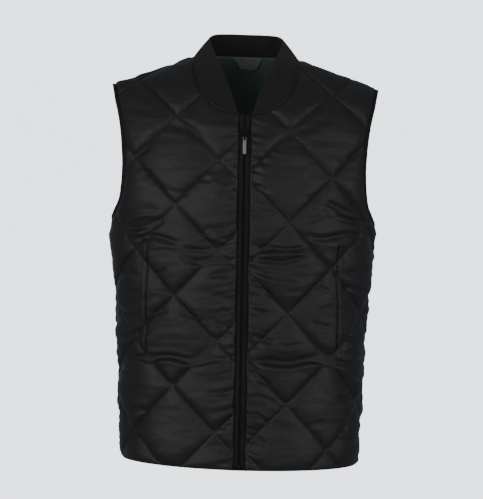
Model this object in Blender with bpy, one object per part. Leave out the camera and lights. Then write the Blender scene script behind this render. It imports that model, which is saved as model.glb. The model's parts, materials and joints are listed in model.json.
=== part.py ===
"""Quilted vest, zipped up and filled out with no wearer.

Metres, +Z up. The front faces -Y and the wearer's left is +X.
The origin is level with the high points of the shoulders, on the centre line.
Each cloth piece is a wall over one inside surface. Its places are given in cloth
measures: "across" runs round the body from the centre line and "up" runs up the
cloth, which is the height as far as the chest and the length of cloth above it.
"""

import math

import bmesh
import bpy
import numpy as np
from mathutils import Vector
from mathutils.geometry import delaunay_2d_cdt

# Body of the vest, measured on the inside of the cloth.
SECTION_COLUMNS = ("height", "half_width", "front_depth", "back_depth")
SECTIONS = (
    (-0.740, 0.1955, 0.110, 0.114),
    (-0.701, 0.1962, 0.111, 0.113),
    (-0.613, 0.1992, 0.114, 0.109),
    (-0.497, 0.2045, 0.118, 0.104),
    (-0.395, 0.2105, 0.122, 0.106),
    (-0.336, 0.2160, 0.1255, 0.112),
    (-0.270, 0.2212, 0.127, 0.120),
    (-0.220, 0.2262, 0.127, 0.122),
    (-0.160, 0.2335, 0.127, 0.122),
    (-0.100, 0.2435, 0.127, 0.122),
    (-0.055, 0.2500, 0.127, 0.122),
    (0.060, 0.2500, 0.127, 0.122),
)
SQUARENESS = 2.4
CHEST = -0.270
RIDGE_TOP = 0.0249
RIDGE_SLOPE = 0.391
RIDGE_ROUND = 0.030
RIDGE_WIDTH = 0.250

# Neckline of the inside surface, from the centre out.
NECK_COLUMNS = ("front_x", "front_height", "back_x", "back_height")
NECK = (
    (0.0113, -0.0968, 0.0000, 0.0005),
    (0.0335, -0.0915, 0.0200, 0.0005),
    (0.0485, -0.0840, 0.0400, 0.0005),
    (0.0600, -0.0760, 0.0600, 0.0004),
    (0.0685, -0.0670, 0.0720, 0.0002),
    (0.0775, -0.0520, 0.0790, 0.0000),
    (0.0840, -0.0360, 0.0842, -0.0001),
    (0.0872, -0.0180, 0.0870, -0.0001),
)
NECK_SHOULDER_X = 0.0887
TIP_X = 0.2250

# Armhole edge of the inside surface, upward from the armpit.
ARMHOLE_COLUMNS = ("height", "front_x", "back_x")
ARMHOLE = (
    (-0.262, 0.2160, 0.2165),
    (-0.247, 0.2098, 0.2108),
    (-0.217, 0.2055, 0.2070),
    (-0.190, 0.2045, 0.2060),
    (-0.160, 0.2058, 0.2073),
    (-0.130, 0.2088, 0.2100),
    (-0.105, 0.2130, 0.2138),
    (-0.080, 0.2188, 0.2190),
    (-0.062, 0.2225, 0.2225),
)
ARMPIT = -0.276

# Top edge of the collar against the share of the neckline from the zip to the back.
COLLAR_COLUMNS = ("share", "x", "y", "z")
COLLAR = (
    (0.00, 0.0130, -0.1015, -0.0925),
    (0.08, 0.0168, -0.0945, -0.0800),
    (0.17, 0.0225, -0.0860, -0.0620),
    (0.27, 0.0320, -0.0760, -0.0380),
    (0.37, 0.0430, -0.0620, -0.0160),
    (0.47, 0.0515, -0.0440, 0.0030),
    (0.60, 0.0605, -0.0080, 0.0260),
    (0.75, 0.0560, 0.0240, 0.0360),
    (0.88, 0.0330, 0.0420, 0.0385),
    (1.00, 0.0000, 0.0480, 0.0385),
)

# Quilting and folds of the outer points.
WALL = 0.0030
DIAMOND_WIDE = 0.146
DIAMOND_TALL = 0.153
CELLS = 10
PUFF = 0.0042
PUFF_SHARPNESS = 0.5
PUFF_FADE = 0.016
FOLD_COLUMNS = ("up", "tilt", "depth")
RIGHT_FOLDS = ((-0.322, 0.02, 0.0022), (-0.513, 0.00, 0.0026))
LEFT_FOLDS = ((-0.330, -0.03, 0.0020), (-0.511, 0.01, 0.0026))
BACK_FOLDS = ((-0.326, 0.00, 0.0020), (-0.512, 0.00, 0.0024))
PUCKER = 0.0018
PUCKER_PITCH = 0.034
PUCKER_REACH = 0.030
PUCKER_START = 0.030
PUCKER_LEAST = 0.6
PUCKER_BEAT = 41.0
PUCKER_BEAT_SHIFT = 90.0
FOLD_HALF = 0.005

# Edges and seams.
GAP = 0.0003
SEAM_CLEAR = 0.004
END_STEP = 0.010
EDGE_STEP = 0.0130
HEM = -0.6950
HEM_RISE = 0.0130
ZIP_HALF = 0.0110
BINDING_WIDE = 0.0065
BINDING_IN = 0.0004
BINDING_OUT = 0.0036
BINDING_CROWN = 0.0005
BINDING_ROUND = 0.0010

# Pieces that lie on the cloth.
WELT_ACROSS = 0.1700
WELT_HALF = 0.0050
WELT_LOW = -0.505
WELT_HIGH = -0.311
WELT_ROWS = 14
WELT_THICK = 0.0014
TAPE_IN = 0.0008
TAPE_OUT = 0.0019
TAPE_INNER = 0.0007
TAPE_OUTER = 0.0107
TAPE_TOP = -0.0950
COIL_HALF = 0.0028
COIL_IN = -0.0016
COIL_OUT = 0.0005
COIL_TOP = -0.1440
BOX_TALL = 0.0080
BOX_HALF = 0.0055
BOX_OUT = 0.0042
ZIP_ROWS = 40

# Collar wall and neck label.
COLLAR_THICK = 0.0024
COLLAR_LIFTS = (0.0, 0.25, 0.5, 0.75, 1.0)
COLLAR_BULGE = 0.0018
COLLAR_FULL = 0.030
COLLAR_FOLD = 0.7
LABEL_TOP_HALF = 0.0240
LABEL_FOOT_HALF = 0.0140
LABEL_TALL = 0.0230
LABEL_SHIFT = 0.0020
LABEL_FOOT_SHIFT = 0.0050
LABEL_CLEAR = 0.0005
LABEL_SWING = 0.0030
LABEL_THICK = 0.0008
LABEL_START = 0.0012

# Slider and pull, in the slider's own axes: x across, y out of the cloth, z up it.
SLIDER_UP = -0.1285
PLATE_LOW = -0.0095
PLATE_HIGH = 0.0095
PLATE_HALF = 0.0058
PLATE_FOOT = 0.76
PLATE_IN = 0.0023
PLATE_OUT = 0.0040
BRIDGE_HALF = 0.0012
BRIDGE_LOW = -0.0088
BRIDGE_HIGH = -0.0024
BRIDGE_FOOT = 0.0013
BRIDGE_UNDER = 0.0062
BRIDGE_OUT = 0.0074
PULL_BAR_OUT = 0.0051
PULL_BAR_UP = -0.0056
PULL_HALF = 0.0029
PULL_WINDOW_HALF = 0.0017
PULL_BAR = 0.0009
PULL_THICK = 0.0010
PULL_WINDOW = 0.0052
PULL_LONG = 0.0285
PULL_TIP = 0.80
PULL_TIP_TALL = 0.003

# How finely the surface is worked out.
ANGLE_COUNT = 61
LIFT_COUNT = 41
TABLE_LOW = -0.730
TABLE_HIGH = 0.130
TABLE_STEP = 0.004
REACH_END = 0.400
NORMAL_STEP = 0.003

MATERIALS = {
    "shell_satin": ((0.016, 0.016, 0.018), 0.42, 0.0),
    "rib_knit": ((0.011, 0.011, 0.012), 0.90, 0.0),
    "binding_tape": ((0.009, 0.009, 0.010), 0.75, 0.0),
    "zip_tape_weave": ((0.009, 0.009, 0.010), 0.85, 0.0),
    "zip_coil_nylon": ((0.006, 0.006, 0.006), 0.45, 0.0),
    "slider_paint": ((0.010, 0.010, 0.010), 0.35, 0.0),
    "pull_metal": ((0.45, 0.45, 0.44), 0.35, 0.9),
    "label_satin": ((0.040, 0.044, 0.050), 0.40, 0.0),
}


def column(rows, names, name):
    return np.array([row[names.index(name)] for row in rows], float)


def smooth(at, knots, values):
    """A smooth curve through the values at the knots."""
    knots = np.asarray(knots, float)
    values = np.asarray(values, float)
    slopes = np.gradient(values, knots)
    at = np.clip(at, knots[0], knots[-1])
    i = np.clip(np.searchsorted(knots, at) - 1, 0, len(knots) - 2)
    wide = knots[i + 1] - knots[i]
    t = (at - knots[i]) / wide
    start = (1 + 2 * t) * (1 - t) ** 2 * values[i] + t * (1 - t) ** 2 * wide * slopes[i]
    end = t**2 * (3 - 2 * t) * values[i + 1] + t**2 * (t - 1) * wide * slopes[i + 1]
    return start + end


def from_table(table, i, j):
    """A value between the rows and columns of a table."""
    i = np.clip(i, 0, table.shape[0] - 1.0001)
    j = np.clip(j, 0, table.shape[1] - 1.0001)
    a = i.astype(int)
    b = j.astype(int)
    u = i - a
    v = j - b
    low = table[a, b] * (1 - v) + table[a, b + 1] * v
    high = table[a + 1, b] * (1 - v) + table[a + 1, b + 1] * v
    return low * (1 - u) + high * u


def half_width(z):
    heights = column(SECTIONS, SECTION_COLUMNS, "height")
    return smooth(z, heights, column(SECTIONS, SECTION_COLUMNS, "half_width"))


def rim(angle):
    """Shares of the half width and of the depth at an angle round the section."""
    s = np.sin(angle)
    c = np.maximum(np.cos(angle), 0)
    size = (s**SQUARENESS + c**SQUARENESS) ** (1 / SQUARENESS)
    return s / size, c / size


def ridge(share):
    """Height of the shoulder line above a share of its half width."""
    x = share * RIDGE_WIDTH
    return RIDGE_TOP - RIDGE_SLOPE * (np.sqrt(x**2 + RIDGE_ROUND**2) - RIDGE_ROUND)


def unit(v):
    return v / np.maximum(np.linalg.norm(v, axis=-1, keepdims=True), 1e-12)


class Shell:
    """Half of the front or of the back, on the inside of the cloth, at +X."""

    def __init__(self, facing, depth_name):
        self.facing = facing
        self.depths = column(SECTIONS, SECTION_COLUMNS, depth_name)
        self.heights = column(SECTIONS, SECTION_COLUMNS, "height")
        self.angles = np.linspace(0, math.pi / 2, ANGLE_COUNT)
        lifts = np.linspace(0, math.pi / 2, LIFT_COUNT)
        grid_a, grid_l = np.meshgrid(self.angles, lifts, indexing="ij")
        steps = np.linalg.norm(np.diff(self.spot(grid_a, grid_l, CHEST), axis=1), axis=2)
        run = np.concatenate([np.zeros((ANGLE_COUNT, 1)), np.cumsum(steps, axis=1)], axis=1)
        self.tall = run[:, -1]
        shares = np.linspace(0, 1, LIFT_COUNT)
        self.lifts = np.array([np.interp(shares, row / row[-1], lifts) for row in run])
        self.ups = np.arange(TABLE_LOW, TABLE_HIGH, TABLE_STEP)
        self.reaches = np.arange(0, REACH_END, TABLE_STEP)
        grid_u, grid_a = np.meshgrid(self.ups, self.angles, indexing="ij")
        places = self.at_angle(grid_a, grid_u)
        steps = np.linalg.norm(np.diff(places, axis=1), axis=2)
        self.across = np.concatenate([np.zeros((len(self.ups), 1)), np.cumsum(steps, axis=1)], axis=1)
        self.turned = np.array([np.interp(self.reaches, row, self.angles) for row in self.across])

    def spot(self, angle, lift, low):
        s, c = rim(angle)
        z = np.where(lift > 0, CHEST + (ridge(s) - CHEST) * np.sin(lift), low)
        y = self.facing * smooth(z, self.heights, self.depths) * c * np.cos(lift)
        return np.stack([s * half_width(z), y, z + 0 * y], axis=-1)

    def angle_index(self, angle):
        return np.asarray(angle, float) / (math.pi / 2) * (ANGLE_COUNT - 1)

    def length_above_chest(self, angle):
        return np.interp(angle, self.angles, self.tall)

    def lift(self, angle, up):
        share = np.clip((up - CHEST) / self.length_above_chest(angle), 0, 1)
        found = from_table(self.lifts, self.angle_index(angle), share * (LIFT_COUNT - 1))
        return np.where(up > CHEST, found, 0)

    def at_angle(self, angle, up):
        return self.spot(angle, self.lift(angle, up), up)

    def row_index(self, up):
        return (np.asarray(up, float) - TABLE_LOW) / TABLE_STEP

    def place(self, across, up):
        """Point of the inside surface. A place left of the centre has a negative across."""
        side = np.where(across < 0, -1.0, 1.0)
        angle = from_table(self.turned, self.row_index(up), np.abs(across) / TABLE_STEP)
        out = self.at_angle(angle, up)
        out[..., 0] *= side
        return out

    def normal(self, across, up):
        d = NORMAL_STEP
        wide = self.place(across + d, up) - self.place(across - d, up)
        tall = self.place(across, up + d) - self.place(across, up - d)
        return unit(np.cross(wide, tall)) * -self.facing

    def side(self, up):
        """How far across the side seam is."""
        return np.interp(up, self.ups, self.across[:, -1])

    def from_angle(self, angle, up):
        angle = np.asarray(angle, float)
        return from_table(self.across, self.row_index(up), self.angle_index(angle))

    def find(self, x, z):
        """Cloth measures of the place with this x and height."""
        s = np.clip(x / half_width(z), 0, 1)
        c = (1 - s**SQUARENESS) ** (1 / SQUARENESS)
        angle = np.arctan2(s, c)
        lift = np.arcsin(np.clip((z - CHEST) / (ridge(s) - CHEST), 0, 1))
        row = np.linspace(0, 1, LIFT_COUNT)
        share = np.array([
            np.interp(k, from_table(self.lifts, np.full(LIFT_COUNT, i), row * (LIFT_COUNT - 1)), row)
            for k, i in zip(np.atleast_1d(lift), np.atleast_1d(self.angle_index(angle)))
        ])
        up = np.where(z > CHEST, CHEST + share * self.length_above_chest(angle), z)
        return np.stack([self.from_angle(angle, up), up], axis=-1)

    def seam(self, x):
        """Cloth measures of the shoulder seam at x."""
        angle = np.arctan2(x / RIDGE_WIDTH, (1 - (x / RIDGE_WIDTH) ** SQUARENESS) ** (1 / SQUARENESS))
        up = CHEST + self.length_above_chest(angle)
        return np.stack([self.from_angle(angle, up), up], axis=-1)


def along(points, count):
    """The line again, with this many points evenly along it."""
    run = np.concatenate([[0], np.cumsum(np.linalg.norm(np.diff(points, axis=0), axis=1))])
    at = np.linspace(0, run[-1], count)
    return np.stack([smooth(at, run, points[:, k]) for k in range(points.shape[1])], axis=1)


def count_for(points, step):
    return max(2, round(np.linalg.norm(np.diff(points, axis=0), axis=1).sum() / step) + 1)


def left_of(points, first=None, last=None):
    """Unit directions to the left of a line's run, with the end ones given."""
    run = unit(np.gradient(points, axis=0))
    out = np.stack([-run[:, 1], run[:, 0]], axis=1)
    if first is not None:
        out[0] = unit(np.array(first, float))
    if last is not None:
        out[-1] = unit(np.array(last, float))
    return out


def neck_line(shell, count):
    """The neckline in cloth measures, from the centre to the shoulder."""
    name = "front" if shell.facing < 0 else "back"
    x = column(NECK, NECK_COLUMNS, name + "_x")
    z = column(NECK, NECK_COLUMNS, name + "_height")
    line = np.vstack([shell.find(x, z), shell.seam(np.array([NECK_SHOULDER_X]))])
    return along(line, count)


def armhole_line(shell, count):
    """The armhole edge in cloth measures, from the shoulder down to the armpit."""
    name = "front_x" if shell.facing < 0 else "back_x"
    z = column(ARMHOLE, ARMHOLE_COLUMNS, "height")[::-1]
    x = column(ARMHOLE, ARMHOLE_COLUMNS, name)[::-1]
    line = np.vstack([shell.seam(np.array([TIP_X])), shell.find(x, z)])
    pit = np.array([[shell.side(ARMPIT), ARMPIT]])
    mirrored = line[-1:] * [-1, 1] + [2 * pit[0, 0], 0]
    run = along(np.vstack([line, pit, mirrored]), 400)
    run = run[: int(np.argmin(np.abs(run[:, 0] - pit[0, 0]) + np.abs(run[:, 1] - ARMPIT))) + 1]
    run[-1] = pit[0]
    return along(run, count)


def armhole_inward(shell, line):
    """Directions from the armhole edge into the panel."""
    seam = shell.seam(np.array([TIP_X - END_STEP, TIP_X]))
    return left_of(line[::-1], (0, -1), seam[0] - seam[1])[::-1]


NECK_COUNT = {-1: 15, 1: 10}
ARMHOLE_COUNT = {-1: 21, 1: 21}
FRONT = Shell(-1, "front_depth")
BACK = Shell(1, "back_depth")


def hem(shell, across):
    return HEM + HEM_RISE * (np.abs(across) / shell.side(HEM)) ** 2


def half_outline(shell):
    """Edge of half a panel from the hem at the centre, up the centre and round."""
    inner = ZIP_HALF if shell.facing < 0 else 0.0
    neck = neck_line(shell, NECK_COUNT[shell.facing])
    neck = neck + neck_inward(shell, neck) * GAP / 2
    neck[0, 0] = inner
    arm = armhole_line(shell, ARMHOLE_COUNT[shell.facing])
    arm = arm + armhole_inward(shell, arm) * (BINDING_WIDE + GAP)
    edge_x = np.linspace(NECK_SHOULDER_X, TIP_X, 12)
    seam = shell.seam(edge_x)
    seam = seam[(seam[:, 0] > neck[-1, 0] + SEAM_CLEAR) & (seam[:, 0] < arm[0, 0] - SEAM_CLEAR)]
    seam[:, 1] -= GAP / 2
    neck[-1, 1] -= GAP / 2
    arm[0, 1] -= GAP / 2
    arm[-1, 0] -= GAP / 2
    ups = np.linspace(arm[-1, 1], hem(shell, shell.side(HEM)), round((arm[-1, 1] - HEM) / EDGE_STEP))[1:]
    side = np.stack([shell.side(ups) - GAP / 2, ups], axis=1)
    xs = np.linspace(side[-1, 0], inner, round(side[-1, 0] / EDGE_STEP))[1:]
    foot = np.stack([xs, hem(shell, xs)], axis=1)
    parts = [neck, seam, arm, side, foot]
    if inner:
        ups = np.linspace(foot[-1, 1], neck[0, 1], round((neck[0, 1] - foot[-1, 1]) / EDGE_STEP))[1:-1]
        parts.append(np.stack([np.full(len(ups), inner), ups], axis=1))
    return np.vstack(parts)


def neck_inward(shell, line):
    """Directions from the neckline into the panel."""
    seam = shell.seam(np.array([NECK_SHOULDER_X, NECK_SHOULDER_X + END_STEP]))
    return -left_of(line, (0, 1), seam[0] - seam[1])


def outline(shell):
    half = half_outline(shell)
    if shell.facing < 0:
        return half
    other = half[::-1] * [-1, 1]
    return np.vstack([half, other[1:-1]])


def inside(points, loop):
    """Which points lie in the loop."""
    x = points[:, 0][:, None]
    y = points[:, 1][:, None]
    ax, ay = loop[:, 0], loop[:, 1]
    bx, by = np.roll(ax, -1), np.roll(ay, -1)
    rise = np.where(np.abs(by - ay) < 1e-12, 1e-12, by - ay)
    hits = ((ay > y) != (by > y)) & (x < ax + (y - ay) * (bx - ax) / rise)
    return hits.sum(axis=1) % 2 == 1


def edge_distance(points, loop):
    """How far each point is from the loop."""
    best = np.full(len(points), 9.0)
    for a, b in zip(loop, np.roll(loop, -1, axis=0)):
        d = b - a
        t = np.clip(((points - a) @ d) / max(d @ d, 1e-12), 0, 1)
        best = np.minimum(best, np.linalg.norm(points - a - t[:, None] * d, axis=1))
    return best


def raise_of(shell, points, loop, origin, folds, shift):
    """How far quilting, folds and puckers raise the outer points."""
    a = (points[:, 0] - origin[0]) / DIAMOND_WIDE
    b = (points[:, 1] - origin[1]) / DIAMOND_TALL
    swell = np.abs(np.sin(math.pi * (a + b)) * np.sin(math.pi * (b - a))) ** PUFF_SHARPNESS
    fade = np.clip(edge_distance(points, loop) / PUFF_FADE, 0, 1)
    high = PUFF * swell * fade
    for up, tilt, depth in folds:
        off = points[:, 1] - up - tilt * np.abs(points[:, 0])
        high = high - depth * np.exp(-((off / FOLD_HALF) ** 2)) * np.clip(high / depth, 0, 1)
    near = np.exp(-np.abs(shell.side(points[:, 1]) - np.abs(points[:, 0])) / PUCKER_REACH)
    below = np.clip((ARMPIT - points[:, 1]) / PUCKER_START, 0, 1)
    wave = 0.5 - 0.5 * np.cos(2 * math.pi * (points[:, 1] + shift) / PUCKER_PITCH)
    beat = np.sin(points[:, 1] * PUCKER_BEAT + shift * PUCKER_BEAT_SHIFT)
    return high + PUCKER * near * below * wave * (PUCKER_LEAST + (1 - PUCKER_LEAST) * beat)


def welt_points(middle):
    ups = np.linspace(WELT_LOW, WELT_HIGH, WELT_ROWS)
    return np.array([(middle + s * WELT_HALF, up) for up in ups for s in (-1, 1)])


def triangles(loop, free, links):
    """Triangles inside the loop that use the free points and the links."""
    points = [Vector(p) for p in np.vstack([loop, free])]
    n = len(loop)
    edges = [(a + n, b + n) for a, b in links]
    made = delaunay_2d_cdt(points, edges, [list(range(n))], 1, 1e-7)
    names = [ids[0] for ids in made[3]]
    return [tuple(names[i] for i in face) for face in made[2]]


def lattice(loop, origin, cells, clear, avoid, folds):
    """Points on the quilting's own lattice, and the stitched lines between them."""
    wide = DIAMOND_WIDE / cells
    tall = DIAMOND_TALL / cells
    low = np.floor((loop.min(axis=0) - origin) / [wide, tall]).astype(int)
    high = np.ceil((loop.max(axis=0) - origin) / [wide, tall]).astype(int)
    names = [(i, j) for i in range(low[0], high[0] + 1) for j in range(low[1], high[1] + 1)]
    spots = np.array(names, float) * [wide, tall] + origin
    keep = inside(spots, loop) & (edge_distance(spots, loop) > clear)
    if avoid is not None:
        box = (np.abs(spots[:, 0] - avoid) < WELT_HALF + clear) & (spots[:, 1] > WELT_LOW - clear)
        keep &= ~(box & (spots[:, 1] < WELT_HIGH + clear))
    extra = []
    for up, tilt, depth in folds:
        keep &= np.abs(spots[:, 1] - up - tilt * np.abs(spots[:, 0])) > tall * 0.35
        xs = np.arange(loop[:, 0].min(), loop[:, 0].max(), wide)
        line = np.stack([xs, up + tilt * np.abs(xs)], axis=1)
        fine = inside(line, loop) & (edge_distance(line, loop) > clear)
        if avoid is not None:
            fine &= np.abs(line[:, 0] - avoid) > WELT_HALF + clear
        extra += [tuple(p) for p in line[fine]]
    kept = {names[i]: k for k, i in enumerate(np.flatnonzero(keep))}
    links = []
    for (i, j), k in kept.items():
        for step in (1, -1):
            # a stitched line goes through points whose steps from a crossing agree
            other = kept.get((i + step, j + 1))
            if other is not None and (i - step * j) % cells == 0:
                links.append((k, other))
    free = spots[keep]
    if extra:
        free = np.vstack([free, extra])
    return free, links


def make(name, points, faces, material):
    """A closed mesh object with its faces turned out."""
    mesh = bpy.data.meshes.new(name)
    mesh.from_pydata([tuple(p) for p in points], [], [tuple(f) for f in faces])
    work = bmesh.new()
    work.from_mesh(mesh)
    bmesh.ops.recalc_face_normals(work, faces=work.faces)
    bmesh.ops.triangulate(work, faces=work.faces)
    if work.calc_volume(signed=True) < 0:
        bmesh.ops.reverse_faces(work, faces=work.faces)
    work.to_mesh(mesh)
    work.free()
    item = bpy.data.objects.new(name, mesh)
    mesh.materials.append(bpy.data.materials[material])
    bpy.context.scene.collection.objects.link(item)
    return item


def panel(name, shell, side, origin, folds, shift, welt):
    """A quilted panel: a plain inside, and an outside raised by the quilting."""
    loop = outline(shell)
    free, links = lattice(loop, np.array(origin), CELLS, EDGE_STEP * 0.45, welt, folds)
    strip = []
    if welt is not None:
        strip = welt_points(welt)
        n = len(free)
        for row in range(WELT_ROWS):
            links.append((n + 2 * row, n + 2 * row + 1))
            if row:
                links += [(n + 2 * row - 2, n + 2 * row), (n + 2 * row - 1, n + 2 * row + 1)]
                links.append((n + 2 * row - 2, n + 2 * row + 1))
        free = np.vstack([free, strip])
    outer_faces = triangles(loop, free, links)
    flat = np.vstack([loop, free])
    high = raise_of(shell, flat, loop, origin, folds, shift)
    base = shell.place(flat[:, 0], flat[:, 1])
    out = shell.normal(flat[:, 0], flat[:, 1])
    outer = base + out * (WALL + high)[:, None]
    coarse, _ = lattice(loop, np.array(origin), CELLS // 2, EDGE_STEP * 0.8, None, ())
    inner_faces = triangles(loop, coarse, [])
    n = len(loop)
    inner_base = shell.place(coarse[:, 0], coarse[:, 1])
    points = np.vstack([outer, base[:n], inner_base])
    m = len(outer)
    faces = [tuple(f) for f in outer_faces]
    faces += [tuple(m + i for i in f[::-1]) for f in inner_faces]
    faces += [(i, m + i, m + (i + 1) % n, (i + 1) % n) for i in range(n)]
    points[:, 0] *= side
    made = make(name, points, faces, "shell_satin")
    if welt is not None:
        start = len(flat) - len(strip)
        rows = [(i, i + 1, i + 3, i + 2) for i in range(0, 2 * WELT_ROWS - 2, 2)]
        skin = outer[start:]
        lay = out[start:]
        low = skin + lay * GAP
        top = skin + lay * (GAP + WELT_THICK)
        welt_solid(name, low, top, rows, side)
    return made


def welt_solid(name, low, top, rows, side):
    n = len(low)
    faces = []
    for a, b, c, d in rows:
        # the same diagonal as the panel below, so that the two never meet
        faces += [(a, c, b), (a, d, c), (n + a, n + b, n + c), (n + a, n + c, n + d)]
        faces += [(a, n + a, n + d, d), (b, c, n + c, n + b)]
    faces += [(0, 1, n + 1, n), (n - 2, 2 * n - 2, 2 * n - 1, n - 1)]
    points = np.vstack([low, top])
    points[:, 0] *= side
    make(name.replace("front", "pocket_welt"), points, faces, "shell_satin")


def loft(name, rings, material, closed):
    """A solid through rings of as many points each, closed on itself or capped."""
    count = len(rings)
    n = len(rings[0])
    faces = []
    for i in range(count if closed else count - 1):
        a = i * n
        b = (i + 1) % count * n
        faces += [(a + k, a + (k + 1) % n, b + (k + 1) % n, b + k) for k in range(n)]
    if not closed:
        faces += [tuple(range(n))[::-1], tuple((count - 1) * n + k for k in range(n))]
    return make(name, np.vstack(rings), faces, material)


def binding(side_name, side):
    """The strip round an armhole, rounded over its free edge."""
    rings = []
    for shell in (FRONT, BACK):
        line = armhole_line(shell, ARMHOLE_COUNT[shell.facing])
        inward = armhole_inward(shell, line)
        if shell is BACK:
            line = line[::-1][1:-1]
            inward = inward[::-1][1:-1]
        sections = []
        for share, low, high in (
            (1.0, BINDING_IN, BINDING_OUT),
            (0.5, BINDING_IN - BINDING_CROWN, BINDING_OUT + BINDING_CROWN),
            (0.0, BINDING_IN + BINDING_ROUND, BINDING_OUT - BINDING_ROUND),
        ):
            at = line + inward * BINDING_WIDE * share
            base = shell.place(at[:, 0], at[:, 1])
            out = shell.normal(at[:, 0], at[:, 1])
            sections.append((base + out * low, base + out * high))
        order = [sections[0][0], sections[1][0], sections[2][0]]
        order += [sections[2][1], sections[1][1], sections[0][1]]
        rings += [np.array([piece[i] for piece in order]) for i in range(len(line))]
    rings = [ring * [side, 1, 1] for ring in rings]
    loft("armhole_binding_" + side_name, rings, "binding_tape", True)


def collar():
    """The rib band, from the neck seam up and in to its folded top edge."""
    front = neck_line(FRONT, NECK_COUNT[-1])
    back = neck_line(BACK, NECK_COUNT[1])[::-1][1:]
    seam = []
    for shell, line, turned in ((FRONT, front, 1), (BACK, back, -1)):
        if turned > 0:
            inward = neck_inward(shell, line)
        else:
            inward = neck_inward(shell, neck_line(shell, NECK_COUNT[1]))[::-1][1:]
        at = line - inward * GAP
        at[:, 1] = np.where(np.abs(inward[:, 1]) < 1e-9, line[:, 1], at[:, 1])
        base = shell.place(at[:, 0], at[:, 1])
        out = shell.normal(at[:, 0], at[:, 1])
        seam += list(zip(base, out))
    starts = np.array([s[0] for s in seam])
    starts[0, 0] = ZIP_HALF + GAP
    outs = np.array([s[1] for s in seam])
    run = np.concatenate([[0], np.cumsum(np.linalg.norm(np.diff(starts, axis=0), axis=1))])
    share = run / run[-1]
    knots = column(COLLAR, COLLAR_COLUMNS, "share")
    tops = np.stack([smooth(share, knots, column(COLLAR, COLLAR_COLUMNS, k)) for k in "xyz"], axis=1)
    tops[0, 0] = ZIP_HALF + GAP
    run_way = unit(np.gradient(starts, axis=0))
    rise = tops - starts
    face = unit(np.cross(rise, run_way))
    face *= np.sign((face * outs).sum(axis=1))[:, None]
    inner, outer = [], []
    bulge = COLLAR_BULGE * np.minimum(1, np.linalg.norm(rise, axis=1) / COLLAR_FULL)[:, None]
    for t in COLLAR_LIFTS:
        middle = starts + rise * t + face * bulge * math.sin(math.pi * t)
        lean = outs if t == 0 else face
        thin = COLLAR_THICK * (COLLAR_FOLD if t == 1.0 else 1.0)
        inner.append(middle)
        outer.append(middle + lean * thin)
    rings = []
    for i in range(len(starts)):
        rings.append(np.array([row[i] for row in inner] + [row[i] for row in outer[::-1]]))
    other = [ring * [-1, 1, 1] for ring in rings[:-1]][::-1]
    loft("collar", rings + other, "rib_knit", False)


def strip(name, inner, outer, low, high, bottom, top, rows, material):
    """A flat strip that follows the centre front."""
    rings = []
    for up in np.linspace(bottom, top, rows):
        at = np.array([inner, outer])
        ups = np.full(2, up)
        base = FRONT.place(at, ups)
        out = FRONT.normal(np.array([0.0, 0.0]), ups)
        rings.append(np.array([base[0] + out[0] * low, base[1] + out[1] * low,
                               base[1] + out[1] * high, base[0] + out[0] * high]))
    loft(name, rings, material, False)


def blocks(cuts_x, cuts_y, cuts_z, filled):
    """Points and outside faces of the filled cells of a block grid."""
    names, points, faces = {}, [], []

    def corner(i, j, k):
        if (i, j, k) not in names:
            names[i, j, k] = len(points)
            points.append((cuts_x[i], cuts_y[j], cuts_z[k]))
        return names[i, j, k]

    full = set(filled)
    for i, j, k in sorted(full):
        cell = np.array([i, j, k])
        for axis in range(3):
            for far in (0, 1):
                step = np.zeros(3, int)
                step[axis] = 1 if far else -1
                if tuple(int(v) for v in cell + step) in full:
                    continue
                u, v = [a for a in range(3) if a != axis]
                ring = []
                for du, dv in ((0, 0), (1, 0), (1, 1), (0, 1)):
                    at = cell.copy()
                    at[axis] += far
                    at[u] += du
                    at[v] += dv
                    ring.append(corner(int(at[0]), int(at[1]), int(at[2])))
                faces.append(ring)
    return np.array(points, float), faces


def slider_axes():
    """The slider's centre and its own axes on the tilted cloth."""
    at = np.array([0.0])
    up = np.array([SLIDER_UP])
    centre = FRONT.place(at, up)[0]
    out = FRONT.normal(at, up)[0]
    across = np.array([1.0, 0.0, 0.0])
    return centre, across, out, np.cross(across, out) * -1


def onto_slider(points):
    centre, across, out, up = slider_axes()
    return centre + points[:, :1] * across + points[:, 1:2] * out + points[:, 2:3] * up


def slider():
    """A plate with a bridge over it, through which the pull's bar passes."""
    xs = (-PLATE_HALF, -BRIDGE_HALF, BRIDGE_HALF, PLATE_HALF)
    ys = (PLATE_IN, PLATE_OUT, BRIDGE_UNDER, BRIDGE_OUT)
    zs = (PLATE_LOW, BRIDGE_LOW, BRIDGE_LOW + BRIDGE_FOOT, BRIDGE_HIGH - BRIDGE_FOOT, BRIDGE_HIGH, PLATE_HIGH)
    filled = [(i, 0, k) for i in range(3) for k in range(5)]
    filled += [(1, 1, 1), (1, 1, 3), (1, 2, 1), (1, 2, 2), (1, 2, 3)]
    points, faces = blocks(xs, ys, zs, filled)
    side = np.abs(points[:, 0]) > BRIDGE_HALF + 1e-6
    narrow = PLATE_FOOT + (1 - PLATE_FOOT) * (points[:, 2] - PLATE_LOW) / (PLATE_HIGH - PLATE_LOW)
    points[:, 0] = np.where(side, points[:, 0] * narrow, points[:, 0])
    make("zip_slider", onto_slider(points), faces, "slider_paint")


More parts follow.
